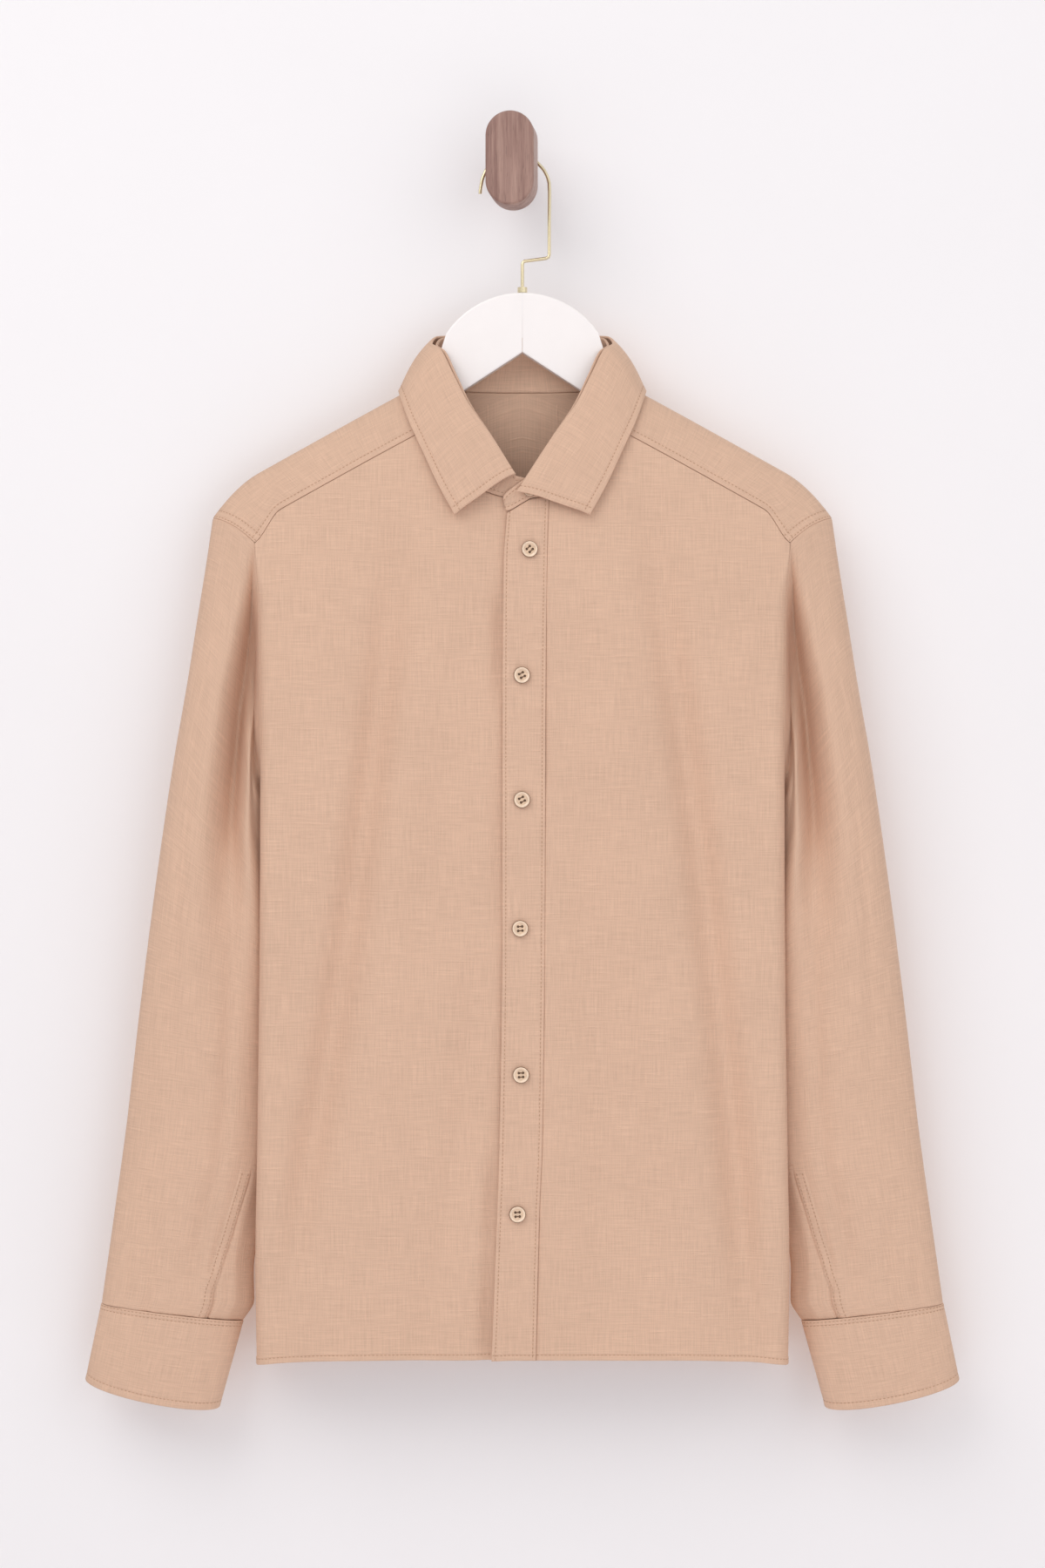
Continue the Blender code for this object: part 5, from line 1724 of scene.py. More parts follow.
    def sew_fell(self, side: Side, stitches: StitchRun) -> None:
        """Lay the two lines of stitching on the felled seam.

        Args:
            side: The wearer's right or left.
            stitches: The run that takes them.
        """
        grid = self.grid(side)
        turns = self.turns()
        runs = np.linspace(0.0, 1.0, self.rings)
        for inset in self.fell_stitches:
            line = []
            for row, run in zip(grid, runs):
                if run < FELLED_SEAM[0][0] + 0.01:
                    continue
                outer_across, _, inner_across = row_at(SLEEVE_RINGS, run)[:3]
                shift = 2.0 * inset / (outer_across - inner_across)
                turn = math.acos(math.cos(self.fell_turn(run)) + shift)
                line.append([np.interp(turn, turns, row[:, axis]) for axis in range(3)])
            path = np.array(line) + np.array([0.0, -0.0007, 0.0])
            stitches.along(path, facing_front(path))

    def sheet(self, side: Side) -> ClothSheet:
        """The sleeve, open at the armhole and at the cuff."""
        edges = {Edge.TOP: SLEEVE_HEAD, Edge.BOTTOM: SEAM}
        return ClothSheet(self.grid(side), self.cloth, edges, from_middle, wrap=True)

    def cuff_grid(self, side: Side, rows: int, columns: int) -> np.ndarray:
        """Grid of the cuff, which laps over itself behind.

        Args:
            side: The wearer's right or left.
            rows: How many steps down.
            columns: How many steps round.

        Returns:
            Points, rows by columns.
        """
        turns = np.linspace(0.0, FULL_TURN + self.lap, columns + 1)
        rise = 1.0 - smoothstep(0.0, self.lap_ease, turns)
        sink = 1.0 - smoothstep(0.0, self.lap_ease, turns[-1] - turns)
        lift = self.lap_lift * (rise - sink)
        turns = turns + self.lap_turn - self.lap / 2.0
        grid = []
        for run in np.linspace(0.0, 1.0, rows + 1):
            outer_across, outer_z, inner_across, inner_z, depth, dip = row_at(CUFF_RINGS, run)
            reach = (outer_across - inner_across) / 2.0 + lift
            across = (outer_across + inner_across) / 2.0 + reach * np.cos(turns)
            z = (outer_z + inner_z) / 2.0 + (outer_z - inner_z) / 2.0 * np.cos(turns)
            z = z - dip * np.clip(np.sin(turns), 0.0, 1.0)
            y = MID_Y - (depth + lift) * np.sin(turns)
            grid.append(np.stack([side.value * across, y, z], axis=-1))
        return np.array(grid)

    def cuff(self, side: Side) -> ClothSheet:
        """The cuff, buttoned behind."""
        edges = {Edge.TOP: CUFF_TOP, Edge.BOTTOM: CUFF_END, Edge.LEFT: LEAF_RIM, Edge.RIGHT: LEAF_RIM}
        return ClothSheet(self.cuff_grid(side, *self.cuff_grid_size), self.firm, edges, from_middle)


# ---------------------------------------------------------------- collar

COLLAR_SECTIONS = (
    # run, neck_share, fold_across, fold_y, fold_z, edge_across, edge_y, edge_z
    (0.00, 0.0, 0.0000, -0.0225, -0.1310, 0.0000, -0.0190, -0.1800),
    (0.15, 0.29, 0.0260, -0.0230, -0.1305, 0.0360, -0.0195, -0.1800),
    (0.30, 0.555, 0.0480, -0.0265, -0.1300, 0.0660, -0.0225, -0.1790),
    (0.42, 0.80, 0.0640, -0.0340, -0.1315, 0.0840, -0.0300, -0.1770),
    (0.51, 1.0, 0.0680, -0.0455, -0.1380, 0.0932, -0.0450, -0.1750),
    (0.58, 1.25, 0.0615, -0.0570, -0.1440, 0.0915, -0.0560, -0.1810),
    (0.66, 1.44, 0.0520, -0.0655, -0.1630, 0.0860, -0.0645, -0.1970),
    (0.75, 1.66, 0.0410, -0.0710, -0.1850, 0.0785, -0.0700, -0.2140),
    (0.87, 1.885, 0.0230, -0.0775, -0.2110, 0.0640, -0.0770, -0.2450),
    (1.00, 1.997, 0.0050, -0.0815, -0.2400, 0.0490, -0.0790, -0.2720),
)
STAND_RUNS = (
    0.0, 0.08, 0.16, 0.24, 0.32, 0.39, 0.45, 0.485, 0.51, 0.53, 0.56, 0.60, 0.65, 0.70,
    0.75, 0.81, 0.87, 0.93, 1.0, 1.06, 1.11, 1.16, 1.22,
)


@dataclass(frozen=True)
class Collar:
    """The collar stand and the leaf folded over it.

    An end's corners are across and height, and its steps are how far they stand ahead of the cloth
    under them. A lift is half the step between two ends that lap, and the ends part between the two
    runs of opens.
    """

    form: BodyForm
    firm: float = 0.0020
    low_end: tuple[float, float] = (-0.0122, -0.2690)
    high_end: tuple[float, float] = (-0.0150, -0.2550)
    end_steps: tuple[float, float] = (0.0003, 0.0008)
    end_reach: float = 0.085
    under_drop: float = 0.004
    stand_inset: float = 0.0036
    stand_drop: float = 0.0010
    stand_lift: float = 0.00125
    stand_grid_size: tuple[int, int] = (13, 111)
    leaf_swell: float = 0.0035
    leaf_corner: float = 0.0030
    leaf_step: tuple[float, float, float] = (-0.0095, -0.0010, -0.0135)
    leaf_grid_size: tuple[int, int] = (27, 181)
    opens: tuple[float, float] = (0.80, 0.97)

    def neck_seam(self, run: float) -> np.ndarray:
        """A point of the neck seam.

        Args:
            run: Place along it, from 0 at the middle of the back to 1 at the front.

        Returns:
            The point.
        """
        form = self.form
        share = row_at(COLLAR_SECTIONS, run)[0]
        ridge = float(form.ridge_z(form.neck_width))
        if share <= 1.0:
            across = form.neck_width * math.sin(share * math.pi / 2)
            z = float(form.neck_back_z(across))
            return np.array([across, float(form.flat_y(Face.BACK, across, z)), z])
        z = ridge + (form.neck_low - ridge) * (share - 1.0)
        across = float(form.neck_front_across(z))
        return np.array([across, float(form.flat_y(Face.FRONT, across, z)), z])

    def fold(self, run: float) -> np.ndarray:
        """A point of the line where the leaf folds over the stand."""
        return np.array(row_at(COLLAR_SECTIONS, run)[1:4])

    def stand_pair(self, side: Side, run: float) -> tuple[np.ndarray, np.ndarray]:
        """Bottom and top of the stand at a run; past 1 it laps over the other side.

        Args:
            side: The wearer's right or left.
            run: Place along it, from 0 at the middle of the back to 1 at the front, or past that.

        Returns:
            The two points.
        """
        inside = min(run, 1.0)
        bottom = self.neck_seam(inside)
        fold = self.fold(inside)
        inward = np.array([-0.5 * fold[0], MID_Y - fold[1], 0.0])
        inward = inward / np.linalg.norm(inward)
        top = fold + inward * self.stand_inset - np.array([0.0, 0.0, self.stand_drop])
        past = float(smoothstep(1.0, STAND_RUNS[-1], run))
        low_y = float(self.form.flat_y(Face.FRONT, -self.low_end[0], self.low_end[1]))
        low_end = np.array([self.low_end[0], low_y - self.end_steps[0], self.low_end[1]])
        high_end = np.array([self.high_end[0], bottom[1] - self.end_steps[1], self.high_end[1]])
        if side is Side.RIGHT:
            low_end[2] = bottom[2]
            high_end[2] = top[2] - self.under_drop
        bottom = bottom + (low_end - bottom) * past
        top = top + (high_end - top) * past
        parted = float(smoothstep(*self.opens, run))
        lift = np.array([0.0, -side.value * self.stand_lift * parted, 0.0])
        mirror = np.array([side.value, 1.0, 1.0])
        return (bottom + lift) * mirror, (top + lift) * mirror

    def stand(self) -> ClothSheet:
        """The stand, from its lapped end on the right round to the one on the left.

        Returns:
            The sheet.
        """
        up, along = self.stand_grid_size
        steps = np.arange(len(STAND_RUNS))
        one_way = np.interp(np.linspace(0.0, steps[-1], along), steps, STAND_RUNS)
        runs = np.concatenate([-one_way[:0:-1], one_way])
        shares = np.linspace(0.0, 1.0, up)
        columns = []
        for run in runs:
            side = Side.LEFT if run >= 0.0 else Side.RIGHT
            low, high = self.stand_pair(side, abs(run))
            tip = float(np.clip((STAND_RUNS[-1] - abs(run)) / self.end_reach, 0.0, 1.0))
            squeeze = math.sqrt(1.0 - (1.0 - tip) ** 2) if side is Side.LEFT else 1.0
            spread = shares if squeeze >= 1.0 else 0.5 + (shares - 0.5) * (0.30 + 0.70 * squeeze)
            columns.append(low + (high - low) * spread[:, None])
        grid = np.array(columns).transpose(1, 0, 2)
        edges = {Edge.TOP: STAND_SEAM, Edge.BOTTOM: STAND_RIM, Edge.LEFT: RAW, Edge.RIGHT: RAW}
        return ClothSheet(grid, self.firm, edges, self.outward)

    def outward(self, points: np.ndarray) -> np.ndarray:
        """Outward direction of the collar, away from the neck."""
        away = points - np.array([0.0, MID_Y, -0.16])
        return away * np.array([1.0, 3.0, 0.0])

    def leaf_column(self, side: Side, run: float) -> np.ndarray:
        """Points of the leaf from its fold to its free edge.

        Args:
            side: The wearer's right or left.
            run: Place along it, from 0 at the middle of the back to 1 at the front.

        Returns:
            The points.
        """
        fold = self.fold(run)
        near_end = float(smoothstep(self.opens[0], 1.0, run))
        if side is Side.LEFT:
            fold = fold + np.array(self.leaf_step) * near_end
        edge = np.array(row_at(COLLAR_SECTIONS, run)[4:])
        outward = np.array([edge[0], (edge[1] - MID_Y) * 2.0, 0.0])
        outward = outward / np.linalg.norm(outward) + np.array([0.0, 0.0, 0.6])
        outward = outward / np.linalg.norm(outward)
        shares = np.linspace(0.0, 1.0, self.leaf_grid_size[0])
        swell = self.leaf_swell * np.sin(math.pi * shares ** 0.7)
        corner = self.leaf_corner * near_end * smoothstep(0.45, 1.0, shares)
        points = fold + (edge - fold) * shares[:, None] + outward * (swell + corner)[:, None]
        return points * np.array([side.value, 1.0, 1.0])

    def leaf(self) -> ClothSheet:
        """The leaf, from point to point.

        Returns:
            The sheet.
        """
        columns = [
            self.leaf_column(Side.LEFT if run >= 0.0 else Side.RIGHT, abs(run))
            for run in np.linspace(-1.0, 1.0, self.leaf_grid_size[1])
        ]
        edges = {Edge.BOTTOM: LEAF_RIM, Edge.LEFT: LEAF_RIM, Edge.RIGHT: LEAF_RIM, Edge.TOP: RAW}
        return ClothSheet(np.array(columns).transpose(1, 0, 2), self.firm, edges, self.outward)


# ---------------------------------------------------------------- buttons

FRONT_BUTTONS = (
    # across, z, turn in degrees
    (0.0055, -0.2959, 45.0),
    (-0.0003, -0.3901, 28.0),
    (-0.0003, -0.4831, 28.0),
    (-0.0016, -0.5793, 3.0),
    (-0.0010, -0.6885, 3.0),
    (-0.0036, -0.7925, 3.0),
)
BUTTON_OUTLINE = (
    # share of the radius, share of the thickness
    (0.00, 0.00), (0.80, 0.00), (0.95, 0.12), (1.00, 0.40), (1.00, 0.72), (0.975, 0.90), (0.93, 0.99),
    (0.87, 1.00), (0.80, 0.96), (0.74, 0.84), (0.68, 0.74), (0.58, 0.69), (0.00, 0.66),
)


class ButtonPart(IntEnum):
    """Parts of a button with their own finish, numbered as its materials are; well, holes and edge get
    painted shade.
    """

    FACE = 0
    WELL_PAINTED_SHADE = 1
    HOLE_PAINTED_SHADE = 2
    EDGE = 3


@dataclass(frozen=True)
class Buttons:
    """The nine buttons, with the thread that holds them.

    The well, the small buttons, the tie's height and the collar run are shares; the other sizes are in
    metres, and cuff_turn is in degrees. The finishes follow the order of a button's parts.
    """

    panels: BodyPanels
    collar: Collar
    sleeves: SleeveShape
    finishes: tuple[bpy.types.Material, ...]
    tie: bpy.types.Material
    radius: float = 0.0062
    thick: float = 0.0024
    hole_painted_shade: float = 0.00100
    hole_at: float = 0.0022
    well_painted_shade: float = 0.66
    small: float = 0.85
    gap: float = 0.0003
    tie_radius: float = 0.00024
    tie_apart: float = 0.00022
    tie_height: float = 0.70
    shank_radii: tuple[float, float] = (0.0005, 0.00035)
    collar_place: tuple[float, float] = (0.0056, -0.2508)
    collar_run: float = 0.35
    cuff_grid_size: tuple[int, int] = (20, 180)
    cuff_row: int = 11
    cuff_gap: float = 0.0004
    cuff_turn: float = 10.0

    def hole_place(self, quarter: int, scale: float, height: float) -> Vector:
        """Middle of one of the four holes at a height, in the button's own frame.

        Args:
            quarter: Which hole.
            scale: Its size against a front button.
            height: The height.

        Returns:
            The point.
        """
        angle = math.pi / 4 + quarter * math.pi / 2
        reach = self.hole_at * scale
        return Vector((math.cos(angle) * reach, math.sin(angle) * reach, height))

    def disc(self, name: str, pose: Matrix, scale: float) -> bpy.types.Object:
        """A dished button with four holes.

        Args:
            name: Name of the piece.
            pose: Where its back's middle is; its face looks along the pose's Z.
            scale: Its size against a front button.

        Returns:
            The object.
        """
        shape = bmesh.new()
        outline = [(r * self.radius * scale, h * self.thick * scale) for r, h in BUTTON_OUTLINE]
        points = [shape.verts.new(Vector((r, 0.0, h))) for r, h in outline]
        edges = [shape.edges.new(pair) for pair in zip(points, points[1:])]
        bmesh.ops.spin(
            shape, geom=points + edges, cent=(0, 0, 0), axis=(0, 0, 1),
            angle=FULL_TURN, steps=56, use_merge=True,
        )
        bmesh.ops.remove_doubles(shape, verts=shape.verts, dist=1e-6)
        bmesh.ops.recalc_face_normals(shape, faces=shape.faces)
        made = link_shape(name, shape, pose, self.finishes[ButtonPart.FACE])
        drill = bmesh.new()
        for quarter in range(4):
            place = Matrix.Translation(self.hole_place(quarter, scale, 0.0))
            add_rod(drill, place, 0.02, (self.hole_painted_shade * scale,) * 2, 18)
        cutter = link_shape(name + "_drill", drill, pose, self.finishes[ButtonPart.FACE])
        cut = made.modifiers.new("holes", "BOOLEAN")
        cut.object = cutter
        cut.operation = "DIFFERENCE"
        bpy.context.view_layer.update()
        drilled = made.evaluated_get(bpy.context.evaluated_depsgraph_get())
        whole = bpy.data.meshes.new_from_object(drilled)
        made.modifiers.clear()
        made.data = whole
        bpy.data.objects.remove(cutter, do_unlink=True)
        self.tone(whole, pose, scale)
        crisp = made.modifiers.new("crisp", "EDGE_SPLIT")
        crisp.split_angle = math.radians(50.0)
        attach(made, "root")
        return made

    def tone(self, mesh: bpy.types.Mesh, pose: Matrix, scale: float) -> None:
        """Give each part of a button its own finish, with painted shade in the well, the holes and round
        the side edge.

        Args:
            mesh: The drilled button.
            pose: Where it is.
            scale: Its size against a front button.
        """
        mesh.materials.clear()
        for finish in self.finishes:
            mesh.materials.append(finish)
        to_button = pose.inverted()
        for face in mesh.polygons:
            face.use_smooth = True
            at = to_button @ face.center
            facing = abs((to_button.to_3x3() @ face.normal).z)
            reach = math.hypot(at.x, at.y) / (self.radius * scale)
            drilled_flat = len(face.vertices) > 12
            # the hole walls take the dark brown finish: painted shade inside the holes
            if reach < 0.6 and facing < 0.3:
                part = ButtonPart.HOLE_PAINTED_SHADE
            # the dished middle and its flat floor take a darker finish: painted shade in the dish
            elif reach < self.well_painted_shade or drilled_flat:
                part = ButtonPart.WELL_PAINTED_SHADE
            # the side wall round the rim takes a dark brown finish: painted shade at the button's edge
            elif reach > 0.93 and facing < 0.8:
                part = ButtonPart.EDGE
            else:
                part = ButtonPart.FACE
            face.material_index = part

    def thread(self, name: str, pose: Matrix, scale: float) -> bpy.types.Object:
        """Two pairs of strands across the four holes, and a short shank behind each hole.

        Args:
            name: Name of the button.
            pose: Where it is.
            scale: Its size against a front button.

        Returns:
            The object.
        """
        shape = bmesh.new()
        high = self.thick * scale * self.tie_height
        upright = Vector((0.0, 0.0, 1.0))
        for pair in ((0, 1), (3, 2)):
            first, second = (self.hole_place(quarter, scale, 0.0) for quarter in pair)
            along = (second - first).normalized()
            turn = upright.rotation_difference(along).to_matrix().to_4x4()
            for aside in (-self.tie_apart, self.tie_apart):
                middle = (first + second) / 2.0 + upright.cross(along) * aside + upright * high
                length = (second - first).length
                add_rod(shape, Matrix.Translation(middle) @ turn, length, (self.tie_radius,) * 2, 8)
        for quarter in range(4):
            place = Matrix.Translation(self.hole_place(quarter, scale, high / 2.0))
            add_rod(shape, place, high, self.shank_radii, 8)
        made = link_shape(name + "_thread", shape, pose, self.tie)
        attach(made, "root")
        return made

    def place(self, name: str, at: Vector, facing: Vector, turn: float, scale: float) -> None:
        """Set one button on the cloth.

        Args:
            name: Its name.
            at: Point about the shirt's axis.
            facing: The way that it looks.
            turn: Turn of its holes in degrees.
            scale: Its size against a front button.
        """
        upright = Vector((0.0, 0.0, 1.0)).rotation_difference(facing).to_matrix().to_4x4()
        spun = upright @ Matrix.Rotation(math.radians(turn), 4, "Z")
        pose = Matrix.Translation(Vector(AXIS_AT) + at) @ spun
        made = self.disc(name + "_disc", pose, scale)
        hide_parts(name)
        report(made)
        report(self.thread(name, pose, scale))

    def build(self) -> None:
        """Make and place all nine."""
        rise = self.panels.firm / 2.0 + self.gap
        for number, (across, z, turn) in enumerate(FRONT_BUTTONS, start=1):
            point = self.panels.on_placket(np.array(across), np.array(z), rise)
            self.place(f"button_{number}", Vector(point), Vector((0, -1, 0)), turn, 1.0)
        self.place_on_stand(rise)
        for side in Side:
            self.place_on_cuff(side, rise)

    def place_on_stand(self, rise: float) -> None:
        """Set the collar button on the stand's upper end.

        Args:
            rise: How far the button's back is ahead of the middle of the cloth.
        """
        across, z = self.collar_place
        run = 1.0 + (STAND_RUNS[-1] - 1.0) * self.collar_run
        low, high = self.collar.stand_pair(Side.LEFT, run)
        on_stand = low + (high - low) * (z - low[2]) / (high[2] - low[2])
        facing = Vector(high - low).cross(Vector((1.0, 0.0, 0.0))).normalized()
        facing = -facing if facing.y > 0.0 else facing
        point = Vector((across, on_stand[1], z)) + facing * rise
        self.place("collar_button", point, facing, 0.0, self.small)

    def place_on_cuff(self, side: Side, rise: float) -> None:
        """Set a cuff's button on the middle of its lap.

        Args:
            side: The wearer's right or left.
            rise: How far the button's back is ahead of the middle of the cloth.
        """
        rows, columns = self.cuff_grid_size
        grid = self.sleeves.cuff_grid(side, rows, columns)
        lap = self.sleeves.lap
        row, col = self.cuff_row, round(lap / 2.0 / (FULL_TURN + lap) * columns)
        along = Vector(grid[row, col + 1] - grid[row, col - 1])
        facing = along.cross(Vector(grid[row + 1, col] - grid[row - 1, col])).normalized()
        facing = -facing if facing.y < 0.0 else facing
        point = Vector(grid[row, col]) + facing * (rise + self.cuff_gap)
        self.place(f"cuff_button_{side.name.lower()}", point, facing, self.cuff_turn, self.small)


# ---------------------------------------------------------------- hook and peg

HOOK_SHANK = (
    (0.0, -0.0960), (0.0, -0.0785), (0.0004, -0.0768), (0.0016, -0.0758), (0.0178, -0.0736),
    (0.0197, -0.0727), (0.0203, -0.0710), (0.0203, -0.0450), (0.0205, -0.0240),
)
HOOK_CROWN = (
    # angle in degrees, distance from the hook's centre
    (0.0, 0.0268), (20.0, 0.0252), (42.0, 0.0238), (90.0, 0.0234), (150.0, 0.0232),
    (180.0, 0.0245), (197.0, 0.0266),
)


@dataclass(frozen=True)
class Hardware:
    """The wire hook and the peg's turned head; hanger arms, ferrule and stem keep the CAD shape.

    The oval head has round ends of head_radius, and straight sides whose half length is head_straight.
    """

    wire: float = 0.0013
    centre: tuple[float, float] = (-0.0065, -0.0170)
    crown_points: int = 90
    head_radius: float = 0.01825
    head_straight: float = 0.0169
    head_depth: float = 0.032
    head_at: tuple[float, float] = (-0.0648, -0.0033)
    head_turn: float = math.radians(-6.0)
    head_points: int = 41
    bevel: float = 0.0020

    def hook(self, finish: bpy.types.Material) -> None:
        """The cranked shank and the crown over the peg's stem.

        Args:
            finish: Its material.
        """
        points = list(HOOK_SHANK)
        for angle in np.linspace(0.0, HOOK_CROWN[-1][0], self.crown_points):
            reach = row_at(HOOK_CROWN, angle)[0]
            aside, rise = reach * math.cos(math.radians(angle)), reach * math.sin(math.radians(angle))
            points.append((self.centre[0] + aside, self.centre[1] + rise))
        curve = bpy.data.curves.new("hook_wire", "CURVE")
        curve.dimensions = "3D"
        curve.bevel_depth = self.wire
        curve.bevel_resolution = 6
        curve.use_fill_caps = True
        spline = curve.splines.new("POLY")
        spline.points.add(len(points) - 1)
        for knot, (x, z) in zip(spline.points, points):
            knot.co = (x + AXIS_AT[0], MID_Y, z + AXIS_AT[2], 1.0)
        spline.use_smooth = True
        curve.materials.append(finish)
        made = add_object("hook_wire", curve)
        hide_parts("hook")
        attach(made, "root")
        log.info("%s: %d points along the wire", made.name, len(points))

    def head(self, finish: bpy.types.Material) -> None:
        """The oval head, with its edge eased.

        Args:
            finish: Its material.
        """
        outline = []
        for start, middle in ((0.0, self.head_straight), (180.0, -self.head_straight)):
            for angle in np.radians(np.linspace(start, start + 180.0, self.head_points)):
                aside, rise = self.head_radius * math.cos(angle), self.head_radius * math.sin(angle)
                outline.append((aside, middle + rise))
        shape = bmesh.new()
        front = [shape.verts.new(Vector((x, -self.head_depth / 2.0, z))) for x, z in outline]
        back = [shape.verts.new(Vector((x, self.head_depth / 2.0, z))) for x, z in outline]
        rims = [shape.faces.new(front), shape.faces.new(back[::-1])]
        for index in range(len(outline)):
            beside = (index + 1) % len(outline)
            shape.faces.new((front[beside], front[index], back[index], back[beside]))
        bmesh.ops.recalc_face_normals(shape, faces=shape.faces)
        edges = [edge for face in rims for edge in face.edges]
        bmesh.ops.bevel(shape, geom=edges, offset=self.bevel, segments=5, profile=0.5, affect="EDGES")
        place = Matrix.Translation((0.0, self.head_at[0], AXIS_AT[2] + self.head_at[1]))
        made = link_shape("peg_oval", shape, place @ Matrix.Rotation(self.head_turn, 4, "Z"), finish)
        for face in made.data.polygons:
            flat_side = len(face.vertices) > 9
            face.use_smooth = not flat_side
        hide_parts("peg_head")
        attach(made, "root")
        report(made)


def redress(node: str, finish: bpy.types.Material) -> None:
    """Give a CAD node that stays a better material."""
    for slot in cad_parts[node].material_slots:
        slot.material = finish
    log.info("%s: kept from the frame, in %s", node, finish.name)


# ---------------------------------------------------------------- stage

@dataclass(frozen=True)
class Backdrop:
    """A flat pale surface of the stage.

    It can be clear from behind, so that the shirt's back can be looked at.
    """

    name: str
    corners: tuple[tuple[float, float, float], ...]
    colour: tuple[float, float, float]
    clear_behind: bool = False

    def finish(self) -> bpy.types.Material:
        """Its chalky paint.

        Returns:
            The material.
        """
        made = bpy.data.materials.new(self.name)
        board = NodeBoard(made)
        at = board.add("TexCoord").outputs["Object"]
        cloud = board.noise(at, (3.0, 3.0, 3.0), 2.0)
        tone = board.spread(cloud, 0.3, 0.7, (0.992, 1.006))
        board.feed(board.shader, "Base Color", board.tint(linear(*self.colour), tone))
        board.shader.inputs["Roughness"].default_value = 0.9
        board.shader.inputs["Specular IOR Level"].default_value = 0.1
        if self.clear_behind:
            output = board.tree.nodes["Material Output"]
            side = board.add("NewGeometry").outputs["Backfacing"]
            clear = board.add("BsdfTransparent").outputs["BSDF"]
            either = board.add("MixShader", {0: side, 1: board.shader.outputs["BSDF"], 2: clear})
            board.feed(output, "Surface", either.outputs["Shader"])
        return made

    def build(self) -> None:
        """Set it up, with no shadow or bounce from one that is clear from behind."""
        mesh = bpy.data.meshes.new(self.name)
        mesh.from_pydata(self.corners, [], [(0, 1, 2, 3)])
        mesh.materials.append(self.finish())
        made = add_object(self.name, mesh)
        made.visible_shadow = not self.clear_behind
        made.visible_diffuse = not self.clear_behind


@dataclass(frozen=True)
class Lamp:
    """A soft square light.

    Warm is how far its colour leans to amber.
    """

    name: str
    at: tuple[float, float, float]
    aim: tuple[float, float, float]
    size: float
    power: float
    warm: float = 0.0

    def build(self) -> None:
        """Hang it."""
        data = bpy.data.lights.new(self.name, "AREA")
        data.size = self.size
        data.energy = self.power
        data.color = (1.0, 1.0 - self.warm * 0.5, 1.0 - self.warm)
        lamp = add_object(self.name, data)
        lamp.location = self.at
        lamp.rotation_euler = (Vector(self.aim) - Vector(self.at)).to_track_quat("-Z", "Y").to_euler()


FLOOR_Z = -1.35
BACKDROPS = (
    Backdrop(
        "wall", ((-6.0, 0.0, FLOOR_Z), (6.0, 0.0, FLOOR_Z), (6.0, 0.0, 3.0), (-6.0, 0.0, 3.0)),
        (246, 243, 245), clear_behind=True,
    ),
    Backdrop(
        "floor", ((-6.0, -6.0, FLOOR_Z), (6.0, -6.0, FLOOR_Z), (6.0, 4.0, FLOOR_Z), (-6.0, 4.0, FLOOR_Z)),
        (236, 231, 233),
    ),
)
LAMPS = (
    Lamp("key", (-1.30, -2.0, 1.45), (0.0, -0.03, -0.45), 2.2, 29.0, warm=0.02),
    Lamp("rear", (1.4, 2.6, 0.6), (0.0, 0.0, -0.5), 2.4, 26.0),
    Lamp("low", (0.2, -1.8, -1.2), (0.0, 0.0, -0.95), 1.6, 5.0),
    Lamp("fill", (1.9, -2.6, 0.5), (0.0, -0.03, -0.5), 2.8, 15.0),
)


@dataclass(frozen=True)
class Studio:
    """Pale wall and floor, soft light from the upper left, and the photo's camera."""

    camera_at: tuple[float, float, float] = (0.0081, -2.682, -0.4652)
    lens: float = 80.0
    sensor: float = 36.0
    far: float = 50.0
    air: tuple[float, float, float, float] = (0.988, 1.0, 1.0, 1.0)
    air_strength: float = 0.642

    def build(self) -> None:
        """Set the stage, the lights and the camera."""
        for part in BACKDROPS + LAMPS:
            part.build()
        world = bpy.data.worlds.new("pale_room")
        world.use_nodes = True
        background = world.node_tree.nodes["Background"]
        background.inputs["Color"].default_value = self.air
        background.inputs["Strength"].default_value = self.air_strength
        scene = bpy.context.scene
        scene.world = world
        scene.view_settings.view_transform = "Standard"
        camera = bpy.data.cameras.new("camera")
        camera.lens = self.lens
        camera.sensor_width = self.sensor
        camera.clip_end = self.far
        view = add_object("camera", camera)
        view.location = self.camera_at
        view.rotation_euler = (math.pi / 2, 0.0, 0.0)
        scene.camera = view
        log.info("stage: %d backdrops and %d lamps", len(BACKDROPS), len(LAMPS))


# ---------------------------------------------------------------- the whole scene

FINISHES = {
    "linen_weave": LinenFinish((217, 181, 157)),
    # sewing thread: the thread's own tone, made darker than the linen as painted shade so the stitch lines
    # read as dark dots
    "sewing_thread_and_painted_shade": PlainFinish((188, 152, 126), 0.7),
    "pearl_shell": PlainFinish((240, 213, 187), 0.25, cloud=0.10, cloud_scale=260.0, coat=0.5),
    # pearl_well: painted shade, darker than the face in the dished middle
    "pearl_well_painted_shade": PlainFinish((222, 190, 160), 0.30, cloud=0.14, cloud_scale=300.0, coat=0.5),
    # pearl_hole: painted shade, dark brown on the walls of the drilled holes
    "pearl_hole_painted_shade": PlainFinish((78, 50, 34), 0.6),
    # pearl_edge: painted shade, a dark brown ring on the button's side
    "pearl_edge": PlainFinish((116, 82, 56), 0.35, coat=0.4),
    "button_thread": PlainFinish((120, 90, 68), 0.7),
    "white_lacquer": PlainFinish((250, 244, 243), 0.42, cloud=0.008, coat=0.15),
    "pale_gold_plate": PlainFinish((226, 212, 178), 0.24, metallic=1.0, cloud=0.02),
    "oiled_walnut": WalnutFinish((176, 142, 130), (142, 108, 99)),
}


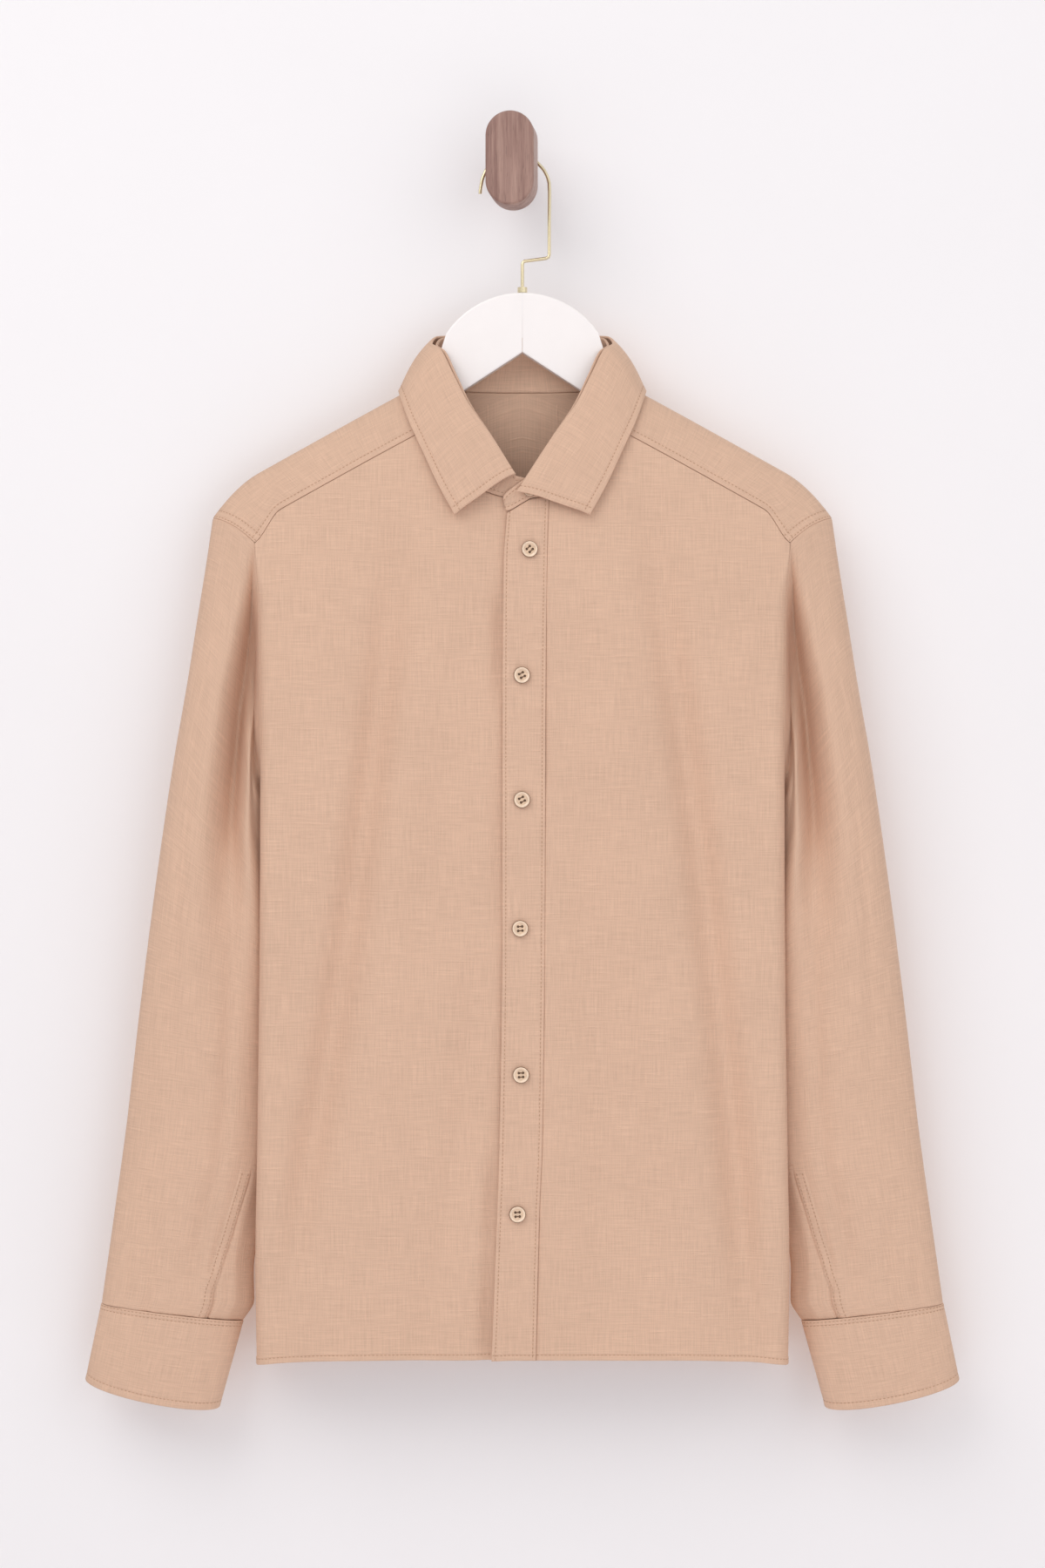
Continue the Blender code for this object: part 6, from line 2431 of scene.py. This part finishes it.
@dataclass(frozen=True)
class ClothPiece:
    """One cut piece of the shirt, with its stitches.

    Its sheets are joined where they meet. The function sew_more lays the stitches that don't follow its
    edges.
    """

    node: str
    sheets: Sequence[ClothSheet]
    hangs_from: tuple[str, ...]
    sew_more: Callable[[StitchRun], None] | None = None

    def build(self, linen: bpy.types.Material, thread: bpy.types.Material) -> None:
        """Make the piece and its stitches, work out the sizes it was cut to, and log its faces.

        Args:
            linen: Material of the cloth.
            thread: Material of the stitches, darker than the linen as painted shade.
        """
        piece = build_sheets(self.node + "_cloth", self.sheets, linen)
        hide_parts(self.node)
        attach(piece, "root")
        stitches = StitchRun()
        for sheet in self.sheets:
            sheet.sew(stitches)
        if self.sew_more is not None:
            self.sew_more(stitches)
        sewn = stitches.build(self.node + "_stitches", thread)
        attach(sewn, "root")
        widths, lengths, areas = zip(*(sheet.cut() for sheet in self.sheets))
        report(piece)


def cloth_pieces(panels: BodyPanels, sleeves: SleeveShape, collar: Collar) -> list[ClothPiece]:
    """Cut every cloth piece, in the order in which they are sewn.

    Args:
        panels: Fronts, placket, back and yoke.
        sleeves: Sleeves and cuffs.
        collar: Stand and leaf.

    Returns:
        The eleven pieces.
    """
    right, left = Side.RIGHT, Side.LEFT
    yoke = ("yoke_cloth",)
    return [
        ClothPiece("front_right", [panels.front(right)], yoke),
        ClothPiece("front_left", [panels.front(left)], yoke),
        ClothPiece("front_placket", [panels.placket(collar)], ("front_left_cloth", "collar_stand_cloth")),
        ClothPiece("back", [panels.back()], yoke),
        ClothPiece("yoke", panels.yoke(), ("hanger_right", "hanger_left")),
        ClothPiece("sleeve_right", [sleeves.sheet(right)], yoke, lambda run: sleeves.sew_fell(right, run)),
        ClothPiece("sleeve_left", [sleeves.sheet(left)], yoke, lambda run: sleeves.sew_fell(left, run)),
        ClothPiece("cuff_right", [sleeves.cuff(right)], ("sleeve_right_cloth",)),
        ClothPiece("cuff_left", [sleeves.cuff(left)], ("sleeve_left_cloth",)),
        ClothPiece("collar_stand", [collar.stand()], yoke),
        ClothPiece("collar_leaf", [collar.leaf()], ("collar_stand_cloth",)),
    ]


def main() -> None:
    """Build every piece, dress it and set the stage."""
    logging.basicConfig(level=logging.INFO, format="%(message)s")
    finishes = {name: finish.make(name) for name, finish in FINISHES.items()}
    panels = BodyPanels(FORM)
    sleeves = SleeveShape(FORM)
    collar = Collar(FORM)
    for piece in cloth_pieces(panels, sleeves, collar):
        piece.build(finishes["linen_weave"], finishes["sewing_thread_and_painted_shade"])
    # the well, hole and edge finishes carry painted shade
    pearl = tuple(finishes["pearl_" + part] for part in ("shell", "well_painted_shade", "hole_painted_shade", "edge"))
    Buttons(panels, collar, sleeves, pearl, finishes["button_thread"]).build()
    hardware = Hardware()
    hardware.hook(finishes["pale_gold_plate"])
    hardware.head(finishes["oiled_walnut"])
    redress("ferrule", finishes["pale_gold_plate"])
    redress("peg_stem", finishes["oiled_walnut"])
    redress("hanger_right", finishes["white_lacquer"])
    redress("hanger_left", finishes["white_lacquer"])
    Studio().build()
    bpy.context.view_layer.update()


if __name__ == "__main__":
    main()
